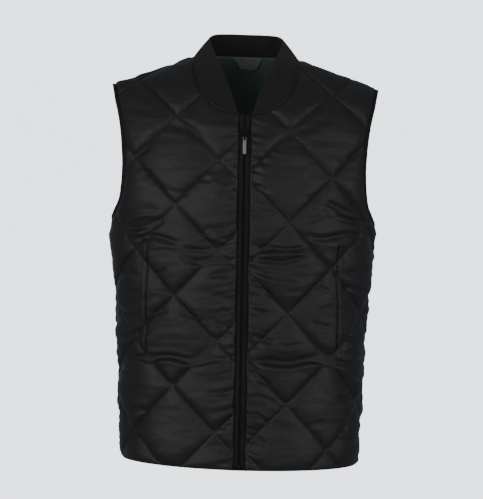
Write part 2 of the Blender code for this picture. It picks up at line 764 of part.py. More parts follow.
def pull():
    """The pull tab with its window and the bar that hangs under the bridge."""
    xs = (-PULL_HALF, -PULL_WINDOW_HALF, PULL_WINDOW_HALF, PULL_HALF)
    ys = (-PULL_THICK / 2, PULL_THICK / 2)
    zs = (-PULL_LONG, -PULL_LONG + PULL_TIP_TALL, -PULL_WINDOW, -PULL_BAR / 2, PULL_BAR / 2)
    filled = [(i, 0, k) for i in range(3) for k in range(4) if (i, k) != (1, 2)]
    points, faces = blocks(xs, ys, zs, filled)
    points[:, 0] *= np.where(points[:, 2] < -PULL_LONG + PULL_TIP_TALL / 2, PULL_TIP, 1.0)
    points += [0, PULL_BAR_OUT, PULL_BAR_UP]
    item = make("zip_pull", onto_slider(points), faces, "pull_metal")
    axis = Vector(onto_slider(np.array([[0.0, PULL_BAR_OUT, PULL_BAR_UP]]))[0])
    for vertex in item.data.vertices:
        vertex.co -= axis
    item.location = axis


def label():
    """The plain label that hangs in the back neck, clear of the cloth behind it."""
    top = neck_line(BACK, NECK_COUNT[1])[0, 1] - LABEL_START
    rings = []
    for t in np.linspace(0, 1, 4):
        half = LABEL_TOP_HALF + (LABEL_FOOT_HALF - LABEL_TOP_HALF) * t
        shift = LABEL_SHIFT + (LABEL_FOOT_SHIFT - LABEL_SHIFT) * t
        at = np.linspace(shift - half, shift + half, 6)
        ups = np.full(6, top - LABEL_TALL * t)
        base = BACK.place(at, ups)
        out = BACK.normal(at, ups)
        clear = LABEL_CLEAR + LABEL_SWING * t
        near = base - out * clear
        far = base - out * (clear + LABEL_THICK)
        rings.append(np.vstack([near, far[::-1]]))
    loft("neck_label", rings, "label_satin", False)


def main():
    for item in list(bpy.data.objects):
        bpy.data.objects.remove(item)
    for name, (colour, roughness, metallic) in MATERIALS.items():
        material = bpy.data.materials.new(name)
        material.use_nodes = True
        node = material.node_tree.nodes["Principled BSDF"]
        node.inputs["Base Color"].default_value = (*colour, 1.0)
        node.inputs["Roughness"].default_value = roughness
        node.inputs["Metallic"].default_value = metallic
    panel("front_right", FRONT, -1, (0.115, -0.403), RIGHT_FOLDS, 0.0, WELT_ACROSS)
    panel("front_left", FRONT, 1, (0.077, -0.428), LEFT_FOLDS, 0.011, WELT_ACROSS)
    panel("back", BACK, 1, (0.0, -0.415), BACK_FOLDS, 0.0, None)
    collar()
    binding("right", -1)
    binding("left", 1)
    foot = HEM + BOX_TALL + GAP
    for name, side in (("zip_tape_right", -1), ("zip_tape_left", 1)):
        strip(name, side * TAPE_INNER, side * TAPE_OUTER, TAPE_IN, TAPE_OUT,
              HEM, TAPE_TOP, ZIP_ROWS, "zip_tape_weave")
    strip("zip_coil", -COIL_HALF, COIL_HALF, COIL_IN, COIL_OUT, foot, COIL_TOP, ZIP_ROWS, "zip_coil_nylon")
    strip("zip_box", -BOX_HALF, BOX_HALF, TAPE_OUT + GAP, BOX_OUT, HEM, HEM + BOX_TALL, 2, "slider_paint")
    slider()
    pull()
    label()


main()
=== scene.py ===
"""A black quilted vest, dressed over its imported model.

Every size is in metres. The cloth's own measures are "across", which runs round the
body from the centre line, and "up", which is the height as far as the chest and the
length of cloth above it. The front faces -Y and the wearer's left is +X.
"""

import json
import math

import bmesh
import bpy
import numpy as np
from mathutils import Matrix, Vector
from mathutils.geometry import delaunay_2d_cdt

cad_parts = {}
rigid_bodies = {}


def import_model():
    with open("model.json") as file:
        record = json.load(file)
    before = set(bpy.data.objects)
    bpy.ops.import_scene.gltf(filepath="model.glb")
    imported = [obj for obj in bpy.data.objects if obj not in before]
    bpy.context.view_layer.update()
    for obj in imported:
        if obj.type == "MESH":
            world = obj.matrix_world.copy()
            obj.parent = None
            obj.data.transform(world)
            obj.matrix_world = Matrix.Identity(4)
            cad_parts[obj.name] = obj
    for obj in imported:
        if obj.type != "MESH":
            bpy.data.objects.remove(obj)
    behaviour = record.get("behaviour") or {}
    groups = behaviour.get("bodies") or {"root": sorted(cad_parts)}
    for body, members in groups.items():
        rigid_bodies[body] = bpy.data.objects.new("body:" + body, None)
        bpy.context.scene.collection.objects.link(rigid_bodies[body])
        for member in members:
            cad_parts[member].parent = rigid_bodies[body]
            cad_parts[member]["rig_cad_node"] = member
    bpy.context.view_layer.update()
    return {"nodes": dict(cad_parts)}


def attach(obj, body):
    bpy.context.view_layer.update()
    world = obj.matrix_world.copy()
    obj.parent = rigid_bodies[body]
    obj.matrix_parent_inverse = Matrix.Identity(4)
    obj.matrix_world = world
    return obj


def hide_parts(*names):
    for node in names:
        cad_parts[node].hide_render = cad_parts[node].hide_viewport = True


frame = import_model()

bl_info = {
    "name": "Quilted vest",
    "version": (1, 0, 0),
    "blender": (4, 5, 0),
    "location": "View3D > Sidebar > Vest",
    "description": "Dresses a packed vest with quilted satin, rib knit and a zip",
    "category": "Object",
}

# The body, on the inside of the cloth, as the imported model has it.
SECTION_COLUMNS = ("height", "half_width", "front_depth", "back_depth")
SECTIONS = (
    (-0.740, 0.1955, 0.110, 0.114),
    (-0.701, 0.1962, 0.111, 0.113),
    (-0.613, 0.1992, 0.114, 0.109),
    (-0.497, 0.2045, 0.118, 0.104),
    (-0.395, 0.2105, 0.122, 0.106),
    (-0.336, 0.2160, 0.1255, 0.112),
    (-0.270, 0.2212, 0.127, 0.120),
    (-0.220, 0.2262, 0.127, 0.122),
    (-0.160, 0.2335, 0.127, 0.122),
    (-0.100, 0.2435, 0.127, 0.122),
    (-0.055, 0.2500, 0.127, 0.122),
    (0.060, 0.2500, 0.127, 0.122),
)
SQUARENESS = 2.4
CHEST = -0.270
RIDGE_TOP = 0.0249
RIDGE_SLOPE = 0.391
RIDGE_ROUND = 0.030
RIDGE_WIDTH = 0.250
NECK_COLUMNS = ("front_x", "front_height", "back_x", "back_height")
NECK = (
    (0.0113, -0.0968, 0.0000, 0.0005),
    (0.0335, -0.0915, 0.0200, 0.0005),
    (0.0485, -0.0840, 0.0400, 0.0005),
    (0.0600, -0.0760, 0.0600, 0.0004),
    (0.0685, -0.0670, 0.0720, 0.0002),
    (0.0775, -0.0520, 0.0790, 0.0000),
    (0.0840, -0.0360, 0.0842, -0.0001),
    (0.0872, -0.0180, 0.0870, -0.0001),
)
NECK_SHOULDER_X = 0.0887
TIP_X = 0.2250
ARMHOLE_COLUMNS = ("height", "front_x", "back_x")
ARMHOLE = (
    (-0.262, 0.2160, 0.2165),
    (-0.247, 0.2098, 0.2108),
    (-0.217, 0.2055, 0.2070),
    (-0.190, 0.2045, 0.2060),
    (-0.160, 0.2058, 0.2073),
    (-0.130, 0.2088, 0.2100),
    (-0.105, 0.2130, 0.2138),
    (-0.080, 0.2188, 0.2190),
    (-0.062, 0.2225, 0.2225),
)
ARMPIT = -0.276
COLLAR_COLUMNS = ("share", "x", "y", "z")
COLLAR = (
    (0.00, 0.0130, -0.1015, -0.0925),
    (0.08, 0.0168, -0.0945, -0.0800),
    (0.17, 0.0225, -0.0860, -0.0620),
    (0.27, 0.0320, -0.0760, -0.0380),
    (0.37, 0.0430, -0.0620, -0.0160),
    (0.47, 0.0515, -0.0440, 0.0030),
    (0.60, 0.0605, -0.0080, 0.0260),
    (0.75, 0.0560, 0.0240, 0.0360),
    (0.88, 0.0330, 0.0420, 0.0385),
    (1.00, 0.0000, 0.0480, 0.0385),
)
WALL = 0.0030
HEM = -0.6950
HEM_RISE = 0.0130
ZIP_HALF = 0.0110
GAP = 0.0003
BINDING_WIDE = 0.0065
ANGLE_COUNT = 61
LIFT_COUNT = 41
TABLE_LOW = -0.730
TABLE_HIGH = 0.130
TABLE_STEP = 0.004
REACH_END = 0.400
NORMAL_STEP = 0.003
END_STEP = 0.010
SEAM_CLEAR = 0.0015


def column(rows, names, name):
    return np.array([row[names.index(name)] for row in rows], float)


def smooth(at, knots, values):
    """A smooth curve through the values at the knots."""
    knots = np.asarray(knots, float)
    values = np.asarray(values, float)
    slopes = np.gradient(values, knots)
    at = np.clip(at, knots[0], knots[-1])
    i = np.clip(np.searchsorted(knots, at) - 1, 0, len(knots) - 2)
    wide = knots[i + 1] - knots[i]
    t = (at - knots[i]) / wide
    start = (1 + 2 * t) * (1 - t) ** 2 * values[i] + t * (1 - t) ** 2 * wide * slopes[i]
    end = t**2 * (3 - 2 * t) * values[i + 1] + t**2 * (t - 1) * wide * slopes[i + 1]
    return start + end


def from_table(table, i, j):
    """A value between the rows and columns of a table."""
    i = np.clip(i, 0, table.shape[0] - 1.0001)
    j = np.clip(j, 0, table.shape[1] - 1.0001)
    a = i.astype(int)
    b = j.astype(int)
    u = i - a
    v = j - b
    low = table[a, b] * (1 - v) + table[a, b + 1] * v
    high = table[a + 1, b] * (1 - v) + table[a + 1, b + 1] * v
    return low * (1 - u) + high * u


def half_width(z):
    heights = column(SECTIONS, SECTION_COLUMNS, "height")
    return smooth(z, heights, column(SECTIONS, SECTION_COLUMNS, "half_width"))


def rim(angle):
    """Shares of the half width and of the depth at an angle round the section."""
    s = np.sin(angle)
    c = np.maximum(np.cos(angle), 0)
    size = (s**SQUARENESS + c**SQUARENESS) ** (1 / SQUARENESS)
    return s / size, c / size


def ridge(share):
    """Height of the shoulder line above a share of its half width."""
    x = share * RIDGE_WIDTH
    return RIDGE_TOP - RIDGE_SLOPE * (np.sqrt(x**2 + RIDGE_ROUND**2) - RIDGE_ROUND)


def unit(v):
    return v / np.maximum(np.linalg.norm(v, axis=-1, keepdims=True), 1e-12)


def run_along(points):
    """How far along its line each point is."""
    return np.concatenate([[0], np.cumsum(np.linalg.norm(np.diff(points, axis=0), axis=1))])


def measures(first, second):
    """Two measures of the cloth at each point of a grid."""
    return np.stack(np.broadcast_arrays(first, second), axis=2)


class Shell:
    """Half of the front or of the back, on the inside of the cloth, at +X."""

    def __init__(self, facing, depth_name):
        self.facing = facing
        self.depths = column(SECTIONS, SECTION_COLUMNS, depth_name)
        self.heights = column(SECTIONS, SECTION_COLUMNS, "height")
        self.angles = np.linspace(0, math.pi / 2, ANGLE_COUNT)
        lifts = np.linspace(0, math.pi / 2, LIFT_COUNT)
        grid_a, grid_l = np.meshgrid(self.angles, lifts, indexing="ij")
        run = np.array([run_along(row) for row in self.spot(grid_a, grid_l, CHEST)])
        self.tall = run[:, -1]
        shares = np.linspace(0, 1, LIFT_COUNT)
        self.lifts = np.array([np.interp(shares, row / row[-1], lifts) for row in run])
        self.ups = np.arange(TABLE_LOW, TABLE_HIGH, TABLE_STEP)
        self.reaches = np.arange(0, REACH_END, TABLE_STEP)
        grid_u, grid_a = np.meshgrid(self.ups, self.angles, indexing="ij")
        self.across = np.array([run_along(row) for row in self.at_angle(grid_a, grid_u)])
        self.turned = np.array([self.angles_at(row) for row in self.across])

    def angles_at(self, row):
        """Angles at even reaches, going on past the side so that the side itself is met."""
        slope = (self.angles[-1] - self.angles[-2]) / (row[-1] - row[-2])
        far = 2 * TABLE_STEP
        angles = [*self.angles, self.angles[-1] + far * slope]
        return np.interp(self.reaches, [*row, row[-1] + far], angles)

    def spot(self, angle, lift, low):
        s, c = rim(angle)
        z = np.where(lift > 0, CHEST + (ridge(s) - CHEST) * np.sin(lift), low)
        y = self.facing * smooth(z, self.heights, self.depths) * c * np.cos(lift)
        return np.stack([s * half_width(z), y, z + 0 * y], axis=-1)

    def angle_index(self, angle):
        return np.asarray(angle, float) / (math.pi / 2) * (ANGLE_COUNT - 1)

    def length_above_chest(self, angle):
        return np.interp(angle, self.angles, self.tall)

    def lift(self, angle, up):
        share = np.clip((up - CHEST) / self.length_above_chest(angle), 0, 1)
        found = from_table(self.lifts, self.angle_index(angle), share * (LIFT_COUNT - 1))
        return np.where(up > CHEST, found, 0)

    def at_angle(self, angle, up):
        return self.spot(angle, self.lift(angle, up), up)

    def row_index(self, up):
        return (np.asarray(up, float) - TABLE_LOW) / TABLE_STEP

    def place(self, across, up):
        """Point of the inside surface. A place left of the centre has a negative across."""
        side = np.where(across < 0, -1.0, 1.0)
        angle = from_table(self.turned, self.row_index(up), np.abs(across) / TABLE_STEP)
        angle = np.minimum(angle, math.pi / 2)
        out = self.at_angle(angle, up)
        out[..., 0] *= side
        return out

    def normal(self, across, up):
        d = NORMAL_STEP
        wide = self.place(across + d, up) - self.place(across - d, up)
        tall = self.place(across, up + d) - self.place(across, up - d)
        return unit(np.cross(wide, tall)) * -self.facing

    def stand(self, flat):
        """Points of the inside surface at these cloth measures, and the ways out of it."""
        return self.place(flat[:, 0], flat[:, 1]), self.normal(flat[:, 0], flat[:, 1])

    def side(self, up):
        """How far across the side seam is."""
        return np.interp(up, self.ups, self.across[:, -1])

    def from_angle(self, angle, up):
        angle = np.asarray(angle, float)
        return from_table(self.across, self.row_index(up), self.angle_index(angle))

    def find(self, x, z):
        """Cloth measures of the place with this x and height."""
        s = np.clip(x / half_width(z), 0, 1)
        c = (1 - s**SQUARENESS) ** (1 / SQUARENESS)
        angle = np.arctan2(s, c)
        lift = np.arcsin(np.clip((z - CHEST) / (ridge(s) - CHEST), 0, 1))
        row = np.linspace(0, 1, LIFT_COUNT)
        share = np.array([
            np.interp(k, from_table(self.lifts, 0 * row + i, row * (LIFT_COUNT - 1)), row)
            for k, i in zip(np.atleast_1d(lift), np.atleast_1d(self.angle_index(angle)))
        ])
        up = np.where(z > CHEST, CHEST + share * self.length_above_chest(angle), z)
        return np.stack([self.from_angle(angle, up), up], axis=-1)

    def seam(self, x):
        """Cloth measures of the shoulder seam at x."""
        s = x / RIDGE_WIDTH
        angle = np.arctan2(s, (1 - s**SQUARENESS) ** (1 / SQUARENESS))
        up = CHEST + self.length_above_chest(angle)
        return np.stack([self.from_angle(angle, up), up], axis=-1)


def along(points, count):
    """The line again, with this many points evenly along it."""
    run = run_along(points)
    at = np.linspace(0, run[-1], count)
    return np.stack([smooth(at, run, points[:, k]) for k in range(points.shape[1])], axis=1)


def left_of(points, first, last):
    """Unit directions to the left of a line's run, with the end ones given."""
    run = unit(np.gradient(points, axis=0))
    out = np.stack([-run[:, 1], run[:, 0]], axis=1)
    out[[0, -1]] = unit(np.array([first, last], float))
    return out


# Quilting lattices: where one crossing of the stitched lines lies on each panel,
# by across and up.
QUILT_RIGHT = (0.115, -0.403)
QUILT_LEFT = (0.077, -0.428)
QUILT_BACK = (0.0, -0.415)
PANEL_CELLS = 66
CELL_CLEAR = 0.0012
SEAM_ROWS = (-0.0023, -0.0010, 0.0010, 0.0023)
SEAM_STEP = 0.0023
SEAM_KEEP = 0.0032
SLIT_ROWS = (-0.0022, -0.0011, 0.0, 0.0011, 0.0022)
INNER_CELLS = 14
EDGE_STEP = 0.0024
STITCH_EDGE = 0.0020
COARSE_CLEAR = 0.0060

# How far a crease wavers to its sides, and the share of it that fades at each end.
WAVER = 0.0030
CREASE_FADE = 0.30

# Creases, listed one by one: x and height of both ends, half width, height of the ridge.
RIGHT_CREASES = (
    (0.014, -0.512, 0.205, -0.507, 0.0058, -0.0040),
    (0.014, -0.320, 0.105, -0.326, 0.0050, -0.0036),
    (0.020, -0.309, 0.080, -0.306, 0.0050, 0.0016),
    (0.095, -0.311, 0.200, -0.306, 0.0052, -0.0034),
    (0.014, -0.344, 0.092, -0.342, 0.0048, -0.0034),
    (0.014, -0.334, 0.088, -0.332, 0.0050, 0.0015),
    (0.100, -0.325, 0.160, -0.322, 0.0044, 0.0012),
    (0.125, -0.277, 0.192, -0.299, 0.0060, -0.0030),
    (0.135, -0.266, 0.196, -0.282, 0.0060, 0.0022),
    (0.016, -0.289, 0.068, -0.291, 0.0050, -0.0012),
    (0.016, -0.365, 0.060, -0.370, 0.0050, -0.0015),
    (0.016, -0.408, 0.052, -0.403, 0.0050, -0.0009),
    (0.016, -0.453, 0.048, -0.451, 0.0044, -0.0011),
    (0.016, -0.570, 0.060, -0.560, 0.0050, -0.0014),
    (0.165, -0.370, 0.207, -0.364, 0.0050, -0.0030),
    (0.163, -0.395, 0.204, -0.408, 0.0045, -0.0026),
    (0.166, -0.440, 0.208, -0.427, 0.0050, -0.0028),
    (0.163, -0.462, 0.200, -0.478, 0.0045, -0.0028),
    (0.166, -0.500, 0.203, -0.488, 0.0052, -0.0016),
    (0.170, -0.540, 0.206, -0.530, 0.0050, -0.0024),
    (0.120, -0.362, 0.152, -0.374, 0.0045, -0.0014),
    (0.122, -0.401, 0.154, -0.394, 0.0042, 0.0011),
    (0.118, -0.430, 0.153, -0.439, 0.0045, -0.0014),
    (0.070, -0.435, 0.105, -0.433, 0.0042, -0.0012),
    (0.090, -0.230, 0.130, -0.224, 0.0050, -0.0012),
    (0.050, -0.205, 0.085, -0.208, 0.0045, -0.0010),
    (0.014, -0.225, 0.046, -0.232, 0.0045, -0.0015),
    (0.014, -0.430, 0.040, -0.426, 0.0040, -0.0016),
    (0.014, -0.472, 0.060, -0.479, 0.0045, -0.0017),
    (0.014, -0.622, 0.044, -0.616, 0.0045, -0.0012),
    (0.100, -0.544, 0.150, -0.550, 0.0052, -0.0011),
    (0.140, -0.600, 0.200, -0.608, 0.0060, -0.0022),
    (0.150, -0.645, 0.198, -0.638, 0.0050, -0.0020),
    (0.060, -0.140, 0.140, -0.110, 0.0090, -0.0014),
    (0.150, -0.150, 0.196, -0.175, 0.0060, -0.0016),
)
LEFT_CREASES = (
    (0.014, -0.513, 0.160, -0.504, 0.0062, -0.0042),
    (0.130, -0.512, 0.205, -0.505, 0.0050, -0.0030),
    (0.014, -0.324, 0.112, -0.314, 0.0050, -0.0036),
    (0.020, -0.330, 0.118, -0.324, 0.0050, 0.0019),
    (0.014, -0.342, 0.110, -0.333, 0.0050, -0.0036),
    (0.090, -0.298, 0.205, -0.293, 0.0058, -0.0036),
    (0.140, -0.308, 0.200, -0.316, 0.0045, 0.0020),
    (0.125, -0.240, 0.200, -0.262, 0.0060, -0.0030),
    (0.135, -0.256, 0.205, -0.276, 0.0055, 0.0020),
    (0.016, -0.250, 0.060, -0.260, 0.0045, -0.0014),
    (0.016, -0.385, 0.055, -0.400, 0.0045, -0.0015),
    (0.016, -0.460, 0.060, -0.480, 0.0045, -0.0016),
    (0.016, -0.560, 0.065, -0.585, 0.0050, -0.0020),
    (0.016, -0.595, 0.055, -0.620, 0.0045, -0.0020),
    (0.016, -0.635, 0.050, -0.652, 0.0045, -0.0018),
    (0.166, -0.355, 0.207, -0.348, 0.0050, -0.0028),
    (0.165, -0.385, 0.206, -0.382, 0.0045, -0.0030),
    (0.166, -0.425, 0.208, -0.418, 0.0050, -0.0028),
    (0.164, -0.465, 0.204, -0.476, 0.0045, -0.0026),
    (0.166, -0.495, 0.205, -0.485, 0.0045, -0.0026),
    (0.172, -0.530, 0.206, -0.538, 0.0050, -0.0022),
    (0.115, -0.380, 0.150, -0.385, 0.0045, -0.0014),
    (0.120, -0.412, 0.152, -0.408, 0.0042, 0.0011),
    (0.110, -0.442, 0.152, -0.446, 0.0045, -0.0014),
    (0.070, -0.390, 0.100, -0.392, 0.0042, -0.0011),
    (0.060, -0.480, 0.110, -0.478, 0.0045, -0.0014),
    (0.100, -0.268, 0.140, -0.262, 0.0050, -0.0012),
    (0.014, -0.215, 0.046, -0.223, 0.0045, -0.0015),
    (0.014, -0.355, 0.050, -0.364, 0.0045, -0.0016),
    (0.014, -0.418, 0.048, -0.426, 0.0042, -0.0016),
    (0.014, -0.535, 0.052, -0.552, 0.0050, -0.0016),
    (0.014, -0.660, 0.045, -0.672, 0.0045, -0.0014),
    (0.100, -0.620, 0.150, -0.612, 0.0052, -0.0012),
    (0.150, -0.575, 0.202, -0.566, 0.0060, -0.0024),
    (0.155, -0.635, 0.200, -0.645, 0.0050, -0.0020),
    (0.060, -0.130, 0.150, -0.100, 0.0090, -0.0014),
    (0.150, -0.170, 0.196, -0.150, 0.0060, -0.0016),
)
# Broad folds that tuck in slowly on one side of a line and fast on the other:
# x and height of both ends, width above and below the line, height.
RIGHT_FOLDS = (
    (0.022, -0.5105, 0.175, -0.5095, 0.024, 0.0034, -0.0046),
    (0.020, -0.3420, 0.110, -0.3440, 0.012, 0.0034, -0.0026),
    (0.130, -0.2800, 0.205, -0.2950, 0.014, 0.0036, -0.0028),
)
LEFT_FOLDS = (
    (0.010, -0.5110, 0.190, -0.5050, 0.013, 0.0034, -0.0042),
    (0.008, -0.3600, 0.110, -0.3840, 0.0040, 0.026, 0.0036),
    (0.120, -0.2500, 0.205, -0.2750, 0.014, 0.0036, -0.0028),
)
BACK_FOLDS = (
    (-0.180, -0.5100, 0.030, -0.5120, 0.020, 0.0036, -0.0030),
    (-0.020, -0.3220, 0.190, -0.3260, 0.016, 0.0036, -0.0026),
)
BACK_CREASES = (
    (-0.200, -0.512, 0.060, -0.509, 0.0044, -0.0012),
    (0.030, -0.510, 0.200, -0.515, 0.0050, -0.0011),
    (-0.190, -0.320, -0.020, -0.326, 0.0055, -0.0018),
    (-0.060, -0.332, 0.110, -0.326, 0.0055, 0.0013),
    (0.020, -0.316, 0.195, -0.324, 0.0055, -0.0020),
    (-0.200, -0.268, -0.120, -0.250, 0.0060, -0.0024),
    (0.120, -0.245, 0.200, -0.270, 0.0060, -0.0024),
    (-0.205, -0.430, -0.140, -0.420, 0.0055, -0.0018),
    (0.145, -0.460, 0.205, -0.448, 0.0055, -0.0018),
    (-0.090, -0.100, 0.090, -0.106, 0.0090, -0.0014),
    (0.140, -0.600, 0.200, -0.590, 0.0055, -0.0016),
    (-0.200, -0.620, -0.150, -0.630, 0.0055, -0.0014),
)

# Softer shape of the cloth between the stitched lines: the wadding sinks, so that
# a diamond falls off fast to the lines below it and slowly to the lines above it.
PUFF_LOW = 0.0082
PUFF_HIGH = 0.0210
GROOVE = 0.0010
GROOVE_HALF = 0.0013
PUCKER_PITCH = 0.0100
PUCKER_LONG = 0.0300
PUCKER_REACH = 0.0100
PUCKER_START = 0.0012
WAVE_START = 0.0100
PUCKER_HIGH = 0.0008
# Soft waves: cell width, cell height, height.
WAVES = (
    (0.085, 0.060, 0.0018),
    (0.055, 0.016, 0.0006),
    (0.024, 0.008, 0.00025),
)
# Puckers at an edge: pitch, reach, height.
ZIP_PUCKERS = (
    (0.0100, 0.018, 0.0025),
    (0.0230, 0.042, 0.0028),
)
SIDE_PUCKERS = (
    (0.0125, 0.030, 0.0022),
    (0.0270, 0.050, 0.0026),
)
EDGE_ROUND = 0.0030
EDGE_PINCH = 0.0090
EDGE_LEAST = 0.0020
NOISE_CELLS = 64

# The front's edge is folded and lies on the zip's tape.
ZIP_FOLD_IN = 0.0010
ZIP_FOLD_LIFT = 0.0026
ZIP_FOLD_RUN = 0.0014
ZIP_FOLD_ROUND = 0.0012
ZIP_NEAR = 0.0010
ZIP_LEFT = 0.0016
ZIP_PINCH = 0.0045

# Where two panels meet they lap a little, so that no light shows through the seam.
SEAM_LAP = 0.0005

# Pocket slits.
POCKET_X = 0.1625
POCKET_LOW = -0.505
POCKET_HIGH = -0.311
POCKET_SLIT = -0.0052
POCKET_SLIT_HALF = 0.0013
POCKET_DIP = 0.0036
POCKET_PUCKER = 0.0022
POCKET_PITCH = 0.0140
POCKET_REACH = 0.020
POCKET_PAST = 0.020


def wave_noise(across, up, wide, tall, seed):
    """Smooth uneven heights, about -1 to 1, with cells of this size."""
    turn = np.random.default_rng(seed).uniform(0, 2 * math.pi, (NOISE_CELLS, NOISE_CELLS))
    u = across / wide
    v = up / tall
    i = np.floor(u).astype(int)
    j = np.floor(v).astype(int)
    total = 0
    for di in (0, 1):
        for dj in (0, 1):
            angle = turn[(i + di) % NOISE_CELLS, (j + dj) % NOISE_CELLS]
            fu = u - i - di
            fv = v - j - dj
            near = ease(1 - np.abs(fu)) * ease(1 - np.abs(fv))
            total = total + near * (np.cos(angle) * fu + np.sin(angle) * fv)
    return total * 1.5


def ease(t):
    t = np.clip(t, 0, 1)
    return t * t * t * (t * (t * 6 - 15) + 10)


def in_steps(line_of, shell, step):
    """A line of the shell, with points about this step apart."""
    return line_of(shell, max(2, round(run_along(line_of(shell, 40))[-1] / step) + 1))


def neck_line(shell, count):
    """The neckline in cloth measures, from the centre to the shoulder."""
    name = "front" if shell.facing < 0 else "back"
    x = column(NECK, NECK_COLUMNS, name + "_x")
    z = column(NECK, NECK_COLUMNS, name + "_height")
    line = np.vstack([shell.find(x, z), shell.seam(np.array([NECK_SHOULDER_X]))])
    return along(line, count)


def neck_inward(shell, line):
    """Directions from the neckline into the panel."""
    seam = shell.seam(np.array([NECK_SHOULDER_X, NECK_SHOULDER_X + END_STEP]))
    return -left_of(line, (0, 1), seam[0] - seam[1])


def armhole_line(shell, count):
    """The armhole edge in cloth measures, from the shoulder down to the armpit."""
    name = "front_x" if shell.facing < 0 else "back_x"
    z = column(ARMHOLE, ARMHOLE_COLUMNS, "height")[::-1]
    x = column(ARMHOLE, ARMHOLE_COLUMNS, name)[::-1]
    line = np.vstack([shell.seam(np.array([TIP_X])), shell.find(x, z)])
    pit = np.array([[shell.side(ARMPIT), ARMPIT]])
    mirrored = line[-1:] * [-1, 1] + [2 * pit[0, 0], 0]
    run = along(np.vstack([line, pit, mirrored]), 400)
    far = np.abs(run[:, 0] - pit[0, 0]) + np.abs(run[:, 1] - ARMPIT)
    run = run[: int(np.argmin(far)) + 1]
    run[-1] = pit[0]
    return along(run, count)


def armhole_inward(shell, line):
    """Directions from the armhole edge into the panel."""
    seam = shell.seam(np.array([TIP_X - END_STEP, TIP_X]))
    return left_of(line[::-1], (0, -1), seam[0] - seam[1])[::-1]


def hem(shell, across):
    return HEM + HEM_RISE * (np.abs(across) / shell.side(HEM)) ** 2


def between(low, high, step):
    return np.linspace(low, high, max(2, round(abs(high - low) / step)))


def half_outline(shell, step):
    """Edge of half a panel from the top of the centre, round to the hem."""
    inner = ZIP_HALF - ZIP_FOLD_IN if shell.facing < 0 else 0.0
    neck = in_steps(neck_line, shell, step)
    neck = neck + neck_inward(shell, neck) * GAP / 2
    neck[0, 0] = inner
    arm = in_steps(armhole_line, shell, step)
    arm = arm + armhole_inward(shell, arm) * (BINDING_WIDE + GAP)
    seam = shell.seam(between(NECK_SHOULDER_X, TIP_X, step))
    clear = (seam[:, 0] > neck[-1, 0] + SEAM_CLEAR) & (seam[:, 0] < arm[0, 0] - SEAM_CLEAR)
    seam = seam[clear]
    seam[:, 1] += SEAM_LAP
    tops = shell.seam(between(NECK_SHOULDER_X - 0.01, TIP_X, step))
    for end in (neck[-1], arm[0]):
        end[1] = np.interp(end[0], tops[:, 0], tops[:, 1]) + SEAM_LAP
    arm[-1, 0] += SEAM_LAP
    ups = between(arm[-1, 1], hem(shell, shell.side(HEM)), step)[1:]
    side = np.stack([shell.side(ups) + SEAM_LAP, ups], axis=1)
    xs = between(side[-1, 0], inner, step)[1:]
    foot = np.stack([xs, hem(shell, xs)], axis=1)
    parts = [neck, seam, arm, side, foot]
    if inner:
        ups = between(foot[-1, 1], neck[0, 1], step)[1:-1]
        parts.append(np.stack([np.full(len(ups), inner), ups], axis=1))
    return np.vstack(parts)


def outline(shell, step):
    half = half_outline(shell, step)
    if shell.facing < 0:
        return half
    other = half[::-1] * [-1, 1]
    return np.vstack([half, other[1:-1]])


def inside(points, loop):
    """Which points lie in the loop."""
    out = np.zeros(len(points), bool)
    for a, b in zip(loop, np.roll(loop, -1, axis=0)):
        rise = b[1] - a[1] if abs(b[1] - a[1]) > 1e-12 else 1e-12
        crosses = (a[1] > points[:, 1]) != (b[1] > points[:, 1])
        out ^= crosses & (points[:, 0] < a[0] + (points[:, 1] - a[1]) * (b[0] - a[0]) / rise)
    return out


def edge_distance(points, loop):
    """How far each point is from the loop."""
    best = np.full(len(points), 9.0)
    for a, b in zip(loop, np.roll(loop, -1, axis=0)):
        d = b - a
        t = np.clip(((points - a) @ d) / max(d @ d, 1e-12), 0, 1)
        best = np.minimum(best, ((points - a - t[:, None] * d) ** 2).sum(axis=1))
    return np.sqrt(best)


def lattice(loop, origin, cells, clear):
    """Points on the quilting's own lattice, and the stitched lines between them."""
    cloth = bpy.context.scene.vest_quilt
    wide = cloth.diamond_wide / cells
    tall = cloth.diamond_tall / cells
    low = np.floor((loop.min(axis=0) - origin) / [wide, tall]).astype(int)
    high = np.ceil((loop.max(axis=0) - origin) / [wide, tall]).astype(int)
    spans = [np.arange(a, b + 1) for a, b in zip(low, high)]
    names = np.stack(np.meshgrid(*spans, indexing="ij"), axis=-1).reshape(-1, 2)
    spots = names * [wide, tall] + origin
    keep = inside(spots, loop)
    keep[keep] = edge_distance(spots[keep], loop) > clear
    kept = {tuple(n): k for k, n in enumerate(names[keep])}
    links = []
    for (i, j), k in kept.items():
        for step in (1, -1):
            # a stitched line goes through points whose steps from a crossing agree
            if (i - step * j) % cells == 0 and (i + step, j + 1) in kept:
                links.append((k, kept[(i + step, j + 1)]))
    return spots[keep], links


